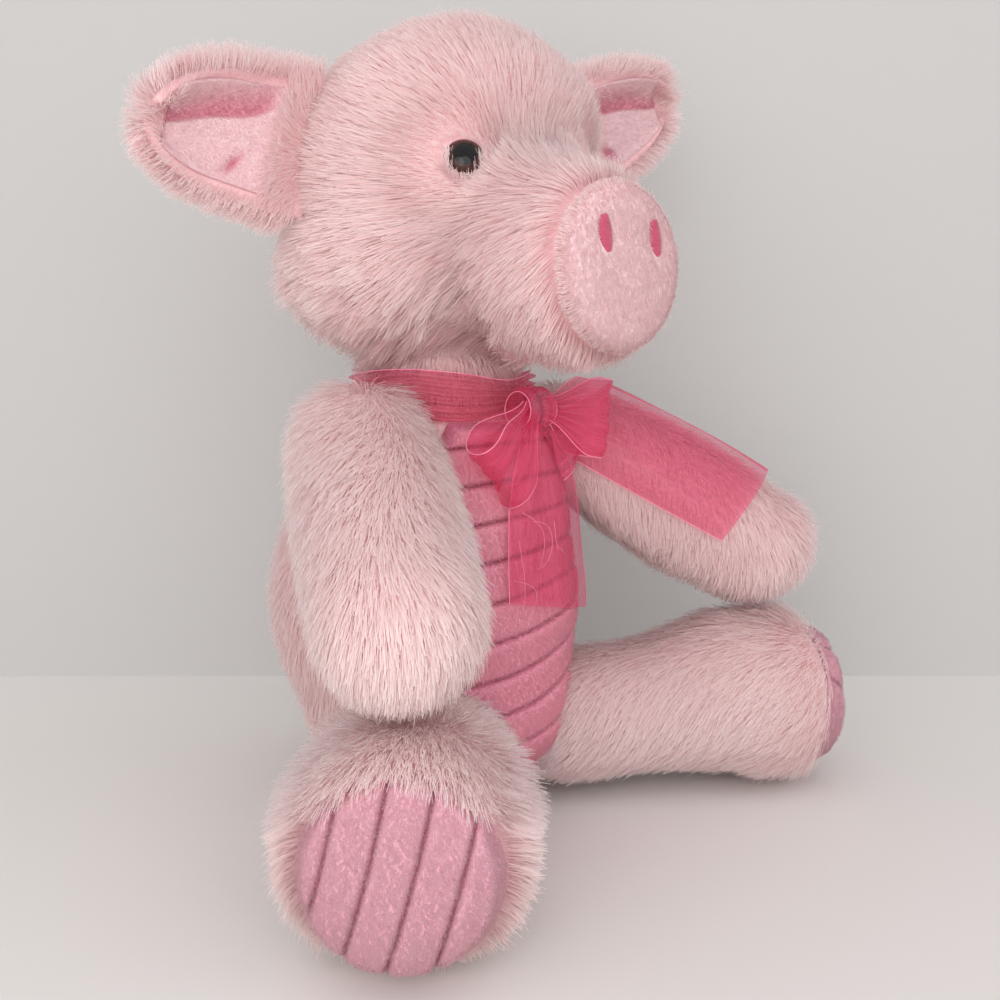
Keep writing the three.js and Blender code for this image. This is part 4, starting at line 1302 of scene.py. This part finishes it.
quarter = np.linspace(0, math.pi / 2, 16)[:-1]
dome = [(EYE_RADIUS * math.cos(a), DOME_HEIGHT * math.sin(a)) for a in quarter] + [(0, DOME_HEIGHT)]
shank = [(0, -SHANK_LENGTH), (1.8, -SHANK_LENGTH), (2.1, -SHANK_LENGTH + 0.3), (2.1, -0.9)]
profile = [*shank, (EYE_RADIUS - 0.3, -0.9), (EYE_RADIUS, -0.5), *dome]
for side in SIDES:
    origin, axis = eye_places[side]
    eye, local = turned(f"eye_dome_{side}", profile, origin, axis)
    write_attribute(eye, "along", np.hypot(local[:, 0], local[:, 1]) / EYE_RADIUS)
    put_on(eye, "head", acrylic, ["eye_" + side])
print("eye is", 2 * EYE_RADIUS, "mm across")

# %% Fur round the eyes
LASHES = 900

for side in SIDES:
    origin, axis = eye_places[side]
    tall = unit(UP - (UP @ axis) * axis)
    wide = np.cross(tall, axis)
    turns = dice.uniform(math.radians(205), math.radians(335), LASHES)
    away = dice.uniform(6.1, 8.2, LASHES)
    around = np.cos(turns)[:, None] * wide + np.sin(turns)[:, None] * tall
    roots = origin + away[:, None] * around - 0.4 * axis
    lean_in = unit(0.75 * tall + 0.25 * (origin - roots) / 7 + dice.normal(0, 0.12, (LASHES, 3)))
    reach = dice.uniform(4.5, 8.0, LASHES)[:, None]
    middle = roots + 0.5 * reach * unit(0.75 * axis + 0.65 * lean_in)
    lashes = (roots, middle, middle + 0.5 * reach * unit(0.12 * axis + lean_in))
    facing = np.tile(axis, (LASHES, 1))
    strand_mesh(f"fur_round_eye_{side}", lashes, dice.random(LASHES), facing, 0.16, long_pile, "head")

# %% [markdown]
# ## Ears
# Each ear is a flat pocket of plush with a short-pile lining on its front, sewn into the head. Its top edge
# curls forward. The pocket and the lining share one pair of coordinates: s runs from the hinge, 0, to the
# tip, 1, and t from the lower edge, -1, to the upper one, 1. So both curl alike and never come apart.

# %% Ear forms
# Each ear's length and how far its tip lies above the hinge, then the way it points out of the head.
EAR_SIZES = {"right": (43, -11), "left": (54, 2)}
EAR_AIMS = {"right": (-0.955, 0, 0.3), "left": (0.92, 0, 0.39)}
EAR_HALF_WIDTH = 21
joints = {joint["name"]: joint for joint in frame["joints"]}


class Ear:
    def __init__(self, side):
        self.length, self.shift = EAR_SIZES[side]
        self.hinge = np.array(joints[side + "_ear_flop"]["pos_m"]) / MM
        aim = EAR_AIMS[side]
        self.out = TURN @ unit(aim)
        self.rise = TURN @ unit((-SIDES[side] * aim[2], 0, abs(aim[0])))
        self.front = TURN @ np.array([0.0, -1.0, 0.0])

    def half(self, s):
        narrow = EAR_HALF_WIDTH - 8 * np.maximum(s, 0)
        return narrow * np.sqrt(np.maximum(1 - np.clip((s - 0.5) / 0.5, 0, 1) ** 2.4, 0.0))

    def curl(self, s, t):
        top = 6.5 * ramp(t, 0.35, 1.1) * ramp(s, 0.1, 0.6)
        bottom = 2.5 * ramp(-t, 0.5, 1.1)
        return top + bottom + 2.5 * ramp(s, 0.5, 1) - 1.0 + 0.5 * np.sin(3 * s + 2 * t)

    def place(self, s, t, lift=0.0):
        out = s * self.length
        rise = self.shift * s + t * self.half(s)
        return (
            self.hinge + out[:, None] * self.out + rise[:, None] * self.rise
            + (self.curl(s, t) + lift)[:, None] * self.front
        )

    def shares(self, points):
        offset = points - self.hinge
        s = offset @ self.out / self.length
        t = (offset @ self.rise - self.shift * s) / np.maximum(self.half(s), 3)
        return s, t


ears = {side: Ear(side) for side in SIDES}
print("ear hinges at, in mm:", {side: ear.hinge.round(1).tolist() for side, ear in ears.items()})

# %% Ear linings
LINING_REACH = 0.8


def lining_place(ear):
    def place(a, b):
        s, t = 0.495 + 0.395 * b, LINING_REACH * a
        return ear.place(s, t, np.full(len(a), 1.6) + 1.2 * ramp(t, 0.3, 0.75) * ramp(s, 0.3, 0.8))
    return place


def ear_lining(side, ear, pocket):
    body = side + "_ear"
    lining, a, b = grid_sheet(f"ear_lining_cloth_{side}", 50, 50, lining_place(ear))
    line = a - (0.25 - 0.4 * b + 0.06 * np.sin(4 * b))
    fold = ramp(line, 0, 0.06) * ramp(line, 0.9, 0.1) * ramp(b, -0.95, -0.5)
    slit = np.exp(-(((a + 0.6) / 0.2) ** 2 + ((b + 0.28 + 0.45 * (a + 0.6)) / 0.08) ** 2))
    # Painted shade in the fold and the slit, which are also pressed in.
    write_attribute(lining, "groove", np.clip(0.85 * fold + 1.2 * slit, 0, 1))
    move_points(lining, points_of(lining) - (1.1 * fold + 1.5 * slit)[:, None] * ear.front * 0.6)
    face_towards(lining, ear.front)
    smooth(lining)
    short_pile(f"ear_lining_pile_{side}", lining, body, ear_pile_look, 9.0, 1.7,
               flow=tuple(ear.out), lean=(0.9, 1.35), unruly=0.25)
    use_modifier(lining, "SOLIDIFY", thickness=0.8 * MM, offset=-1)
    put_on(lining, body, ear_velour, ["ear_lining_" + side])


# %% Ear fur
def ear_keep(ear):
    def keep(points, normals):
        s, t = ear.shares(points)
        behind = normals @ ear.front < 0.25
        rim = (np.abs(t) > 0.82) | (s > 0.88)
        return (behind | rim | (s < 0.13)) & (s > -0.12)
    return keep


def ear_flow(ear):
    def flow(points, normals):
        s, t = ear.shares(points)
        outwards = 0.45 + 0.6 * ramp(s, 0.3, 1)
        return ear.out * outwards[:, None] + ear.rise * (1.1 * t)[:, None]
    return flow


def ear_pile(ear):
    def length(points):
        s, t = ear.shares(points)
        front = (np.abs(t) < 0.84) & (s < 0.2)
        return np.where(front, 6.5, 6 + 2.5 * np.maximum(ramp(np.abs(t), 0.6, 0.95), ramp(s, 0.7, 0.95)))
    return length


# %% Ear backs, with their linings and fur
def pocket_place(ear):
    return lambda a, b: ear.place(0.4 + 0.595 * b, a)


for side, ear in ears.items():
    pocket, _, _ = grid_sheet(f"ear_plush_{side}", 36, 30, pocket_place(ear))
    face_towards(pocket, ear.front)
    use_modifier(pocket, "SOLIDIFY", thickness=2.6 * MM, offset=-0.6)
    use_modifier(pocket, "SMOOTH", factor=0.5, iterations=2)
    smooth(pocket)
    put_on(pocket, side + "_ear", backing, ["ear_" + side])
    ear_lining(side, ear, pocket)
    coat(f"ear_fur_{side}", pocket, side + "_ear", ear_keep(ear), ear_flow(ear), ear_pile(ear),
         lean=(0.9, 1.35))

# %% [markdown]
# ## Tail
# A short curl of the same plush, sewn on at the back. The photo doesn't show it, so it is a plain pig's
# tail. A tube is swept along a helix that opens from nothing, and its ends are closed.

# %% Tail
TAIL_ROOT = np.array([0, 62.33, 42.0])
TAIL_TURNS = 1.2
TAIL_REACH = 20
CURL_RADIUS = 6


def tail_line(share):
    angle = 2 * math.pi * TAIL_TURNS * share
    radius = CURL_RADIUS * ramp(share, 0, 0.5)
    curl = [radius * np.sin(angle), TAIL_REACH * share - 1, radius * (1 - np.cos(angle))]
    return TAIL_ROOT + np.stack(curl, axis=1)


def tail_place(a, b):
    share = np.linspace(0, 1, 200)
    line = tail_line(share)
    runs = unit(np.gradient(line, axis=0))
    first = unit(np.cross(runs, (0.2, 0.1, 1)))
    second = np.cross(runs, first)
    at = (b + 1) / 2
    size = 2.6 * np.sqrt(np.clip(1 - (np.abs(at * 1.02 - 0.02)) ** 9, 0.02, 1)) + 1.4 * ramp(at, 0.12, 0)
    turn = math.pi * a
    spots, first, second = (
        np.stack([np.interp(at, share, rows[:, i]) for i in range(3)], axis=1)
        for rows in (line, first, second)
    )
    return spots + size[:, None] * (first * np.cos(turn)[:, None] + second * np.sin(turn)[:, None])


tail, _, _ = grid_sheet("tail_plush", 14, 48, tail_place)
start_edit(tail)
bpy.ops.mesh.remove_doubles(threshold=0.00005)
bpy.ops.mesh.select_all(action="DESELECT")
bpy.ops.mesh.select_non_manifold()
bpy.ops.mesh.fill_holes(sides=40)
end_edit()
smooth(tail)
put_on(tail, "tail", backing, ["tail"])


def tail_flow(points, normals):
    line = tail_line(np.linspace(0, 1, 40))
    runs = np.gradient(line, axis=0)
    nearest = np.argmin(np.linalg.norm(points[:, None] - line[None], axis=2), axis=1)
    return runs[nearest]


coat("tail_fur", tail, "tail", None, tail_flow, 4.5, per_mm2=6)

# %% [markdown]
# ## Neck
# The neck is a ball of filling in a plush sleeve, so that the head can turn and nod on it. It hardly shows
# under the cheeks and the ribbon, and a plain blown ball with a band of fur is enough.

# %% Neck
FUR_BAND_HEIGHT, FUR_BAND_HALF = 146, 9


def neck_form(points):
    return np.linalg.norm(points - NECK, axis=1) - NECK_RADIUS + 0.2 + wobble(points, 6) * 0.15


def neck_keep(points, normals):
    return np.abs(points[:, 2] - FUR_BAND_HEIGHT) < FUR_BAND_HALF


def neck_flow(points, normals):
    return (points - NECK) * (0.05, 0.05, 0) - UP


neck = blown("neck_plush", neck_form, NECK, 40, 5)
smooth(neck)
put_on(neck, "neck", backing, ["neck_filling"])
coat("neck_fur", neck, "neck", neck_keep, neck_flow, 9.0, lean=(0.7, 1.2))

# %% [markdown]
# ## Sheer ribbon
# One length of organza, 38 mm wide, goes round the neck and is tied in a bow. One tail lies on the tummy,
# the other goes over the chest to the pig's left arm. A cloth simulation would tie it anew on each change,
# so each stretch is a thin sheet with its folds written as waves: gathered where it is squeezed, and flat
# where it lies free.

# %% Strips of ribbon
RIBBON_WIDTH = 38.0
AHEAD = (0, -1, 0)


def ribbon_strip(name, place, cells, body, node, aim=AHEAD):
    """A strip whose a runs across the ribbon and whose b runs along it, with a shiny thread on both edges."""
    strip, a, b = grid_sheet(name, *cells, place)
    length = sum(face.area for face in strip.data.polygons) / MM ** 2 / RIBBON_WIDTH
    weave = np.stack([a * RIBBON_WIDTH * 0.55, b * length * 0.05, 0 * a], axis=1)
    write_attribute(strip, "weave", weave, "FLOAT_VECTOR")
    face_towards(strip, aim)
    smooth(strip)
    put_on(strip, body, organza, [node])
    print(name, "flat length in mm:", round(length))
    edges = [place(np.full(90, end), np.linspace(-1, 1, 90)) for end in (-1.0, 1.0)]
    selvage = threads(name + "_selvage", edges, 0.17, 5)
    put_on(selvage, body, ribbon_thread)


# %% Round the neck, and the knot
BAND_RADIUS, BAND_HEIGHT, BAND_HALF = 29.2, 134.7, 7.6
KNOT = np.array([3.0, -33.9, 131.0])
KNOT_RADIUS, KNOT_HALF = 6.6, 5.8


def band_place(a, b):
    angle = math.pi * b
    drift = 0.9 * np.sin(3 * angle + 1) + 0.6 * np.sin(7 * angle)
    radius = BAND_RADIUS + 1.5 * np.sin(6 * math.pi * a + drift) + 0.5 * np.sin(5 * angle + 2 * a)
    pinch = 1 - 0.35 * np.exp(-((angle / 0.35) ** 2))
    z = BAND_HEIGHT + BAND_HALF * a * pinch + 0.6 * np.sin(4 * angle)
    return np.stack([radius * np.sin(angle), NECK[1] - radius * np.cos(angle), z], axis=1)


def knot_place(a, b):
    angle = math.pi * b
    bulge = 0.72 + 0.28 * np.sqrt(np.maximum(1 - (0.9 * a) ** 2, 0))
    folds = 1 + 0.07 * np.sin(9 * a + 1.5 * np.sin(angle))
    radius = KNOT_RADIUS * bulge * folds
    return KNOT + np.stack([KNOT_HALF * a, -radius * np.cos(angle), radius * np.sin(angle)], axis=1)


ribbon_strip("neck_band", band_place, (60, 160), "torso", "neck_ribbon", UP)
ribbon_strip("ribbon_knot", knot_place, (36, 48), "torso", "bow_knot")

# %% The bow's loops
LOOP_DROOP_DEGREES = {"right": 46, "left": 10}
LOOP_REACH = {"right": 29, "left": 25}
LOOP_HALF = 12.5


def loop_place(side):
    droop, forward = math.radians(LOOP_DROOP_DEGREES[side]), math.radians(12)
    sign, reach = SIDES[side], LOOP_REACH[side]

    def place(a, b):
        turn = math.pi * (b + 1) / 2
        x = reach * np.sin(turn) ** 0.85
        open_share = ramp(x / reach, 0, 0.7)
        pleats = (1.2 - 0.7 * open_share) * np.sin(3.5 * math.pi * a + 2 * b)
        y = 5.2 * np.sin(2 * turn) + pleats + 1.2 * a * a * open_share + 0.8 * np.sin(2.5 * a + b)
        z = a * LOOP_HALF * (0.27 + 0.73 * open_share)
        x, z = x * math.cos(droop) + z * math.sin(droop), -x * math.sin(droop) + z * math.cos(droop)
        x, y = x * math.cos(forward) + y * math.sin(forward), -x * math.sin(forward) + y * math.cos(forward)
        return KNOT + np.stack([sign * (x + 3), y - 3, z], axis=1)

    return place


for side in SIDES:
    ribbon_strip(f"ribbon_loop_{side}", loop_place(side), (36, 72), "torso", "bow_loop_" + side)


# %% The tail on the tummy
def edge_line(points, share):
    """Points along a broken line, at the given shares of its length."""
    points = np.array(points, float)
    far = np.concatenate([[0], np.cumsum(np.linalg.norm(np.diff(points, axis=0), axis=1))])
    return np.stack([np.interp(share * far[-1], far, points[:, i]) for i in range(points.shape[1])], axis=1)


def belly_place(a, b):
    down = (1 - b) / 2
    right = edge_line([(-1, 124), (-8, 110), (-11, 100), (-14, 73)], down)
    left = edge_line([(9, 126), (24, 113), (31, 100), (32, 64)], down)
    cross = (a[:, None] + 1) / 2
    spot = right * (1 - cross) + left * cross
    folds = (1.3 - 0.6 * down) * np.sin(2.6 * math.pi * a + 1.5 * down)
    return front_of(torso_distance, spot[:, 0], spot[:, 1], 2.6 + 0.7 * folds)


ribbon_strip("ribbon_on_tummy", belly_place, (48, 70), "torso", "ribbon_tail_belly")

# %% The tail on the arm
arm = arms["left"]
arm_front = unit(np.cross(arm.aim, UP))
arm_top = unit(np.cross(arm_front, arm.aim))


def on_arm(a, along, lift):
    """Wraps the ribbon's width round the arm, from 10 degrees below its front to just past its top."""
    turn = np.radians(46 + 56 * a)
    radius = arm.radius(along) + lift
    around = np.cos(turn)[:, None] * arm_front + np.sin(turn)[:, None] * arm_top
    return arm.root + along[:, None] * arm.aim + radius[:, None] * around


def arm_ribbon_place(a, b):
    share = 0.08 + (0.8 + 0.05 * a) * (b + 1) / 2
    folds = np.sin(2.2 * math.pi * a + 2 * b)
    return on_arm(a, share * arm.length, 1.0 + 0.4 * folds)


ribbon_strip("ribbon_on_arm", arm_ribbon_place, (48, 80), "left_arm", "ribbon_tail_arm",
             arm_front)


# %% The stretch over the chest, which reaches over to the arm
def chest_place(a, b):
    over = (b + 1) / 2
    start = edge_line([(14, 108), (9, 127)], (a + 1) / 2)
    near = front_of(torso_distance, start[:, 0], start[:, 1], 3.6 + 0.6 * np.sin(4 * a))
    far = on_arm(a, np.full(len(a), 0.09 * arm.length), 1.6 + 0.4 * np.sin(2.2 * math.pi * a - 2))
    bow = 2.4 * (4 * over * (1 - over))[:, None]
    return near * (1 - over)[:, None] + far * over[:, None] + bow * np.array([0.2, -0.9, 0.3])


ribbon_strip("ribbon_on_chest", chest_place, (48, 40), None, "ribbon_tail_chest")
held, free = chest_place(np.zeros(2), np.array([-0.4, 0.85])) * MM
for name in ("ribbon_on_chest", "ribbon_on_chest_selvage"):
    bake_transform(bpy.data.objects[name], "torso", "left_arm", start=tuple(held), end=tuple(free))

# %% Loose threads at the ribbon's cut edges
# Each starts at x and z on the tummy, hangs down by its reach and curls to one side.
STRAYS = [(-8, 100, 16, 0.6), (-10, 92, 22, -0.4), (-4, 97, 14, 1.0), (-13, 80, 9, 0.5), (6, 96, 12, -0.8)]
strays = []
for x, z, reach, curl in STRAYS:
    share = np.linspace(0, 1, 24)
    path_x = x + 4 * np.sin(curl * 4 * share) + 3 * share
    path_z = z - reach * share + 2 * np.sin(6 * share * curl)
    lift = 3.8 + 2.5 * np.sin(math.pi * share)
    strays.append(np.stack([path_x, front_of(torso_distance, path_x, path_z, lift)[:, 1], path_z], axis=1))
loose = threads("loose_ribbon_threads", strays, 0.08, 5)
put_on(loose, "torso", ribbon_thread)
print("loose threads:", len(strays))

# %% [markdown]
# ## Filling, pellets and washers
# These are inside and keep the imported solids' places. A copy of each solid is made into an even skin, and
# soft lumps in it stand for the clumps of loose fibre and for the pellets.

# %% Inside
INSIDE_GRID = 2.5


def inside_piece(node, name, body, look, lump_mm, lump_size):
    piece = add_piece(name, frame["nodes"][node].data.copy())
    start_edit(piece)
    bpy.ops.mesh.remove_doubles(threshold=0.00001)
    end_edit(faces_outwards=False)
    use_modifier(piece, "REMESH", mode="VOXEL", voxel_size=INSIDE_GRID * MM)
    use_modifier(piece, "SMOOTH", factor=0.5, iterations=3)
    points = points_of(piece)
    normals = read(piece.data.vertex_normals, "vector", 3)
    move_points(piece, points + (lump_mm * wobble(points, lump_size) - lump_mm)[:, None] * normals)
    smooth(piece)
    put_on(piece, body, look, [node])


inside_piece("torso_filling", "torso_fibre", "torso", fibre_fill, 0.7, 4)
inside_piece("pellet_bag", "pellet_pouch", "torso", pellet_cloth, 0.5, 1.6)
inside_piece("head_filling", "head_fibre", "head", fibre_fill, 0.7, 4)
for side in SIDES:
    inside_piece("arm_filling_" + side, "arm_fibre_" + side, side + "_arm", fibre_fill, 0.7, 3)
    inside_piece("leg_filling_" + side, "leg_fibre_" + side, side + "_leg", fibre_fill, 0.5, 3)
    washer = frame["nodes"]["eye_washer_" + side]
    washer.data.materials.clear()
    washer.data.materials.append(moulded)


# %% Size at the end
def write_sizes():
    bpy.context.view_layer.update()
    shown = [piece for piece in bpy.data.objects if piece.type == "MESH" and not piece.hide_render]
    print("triangles:", sum(len(face.vertices) - 2 for piece in shown for face in piece.data.polygons))


write_sizes()
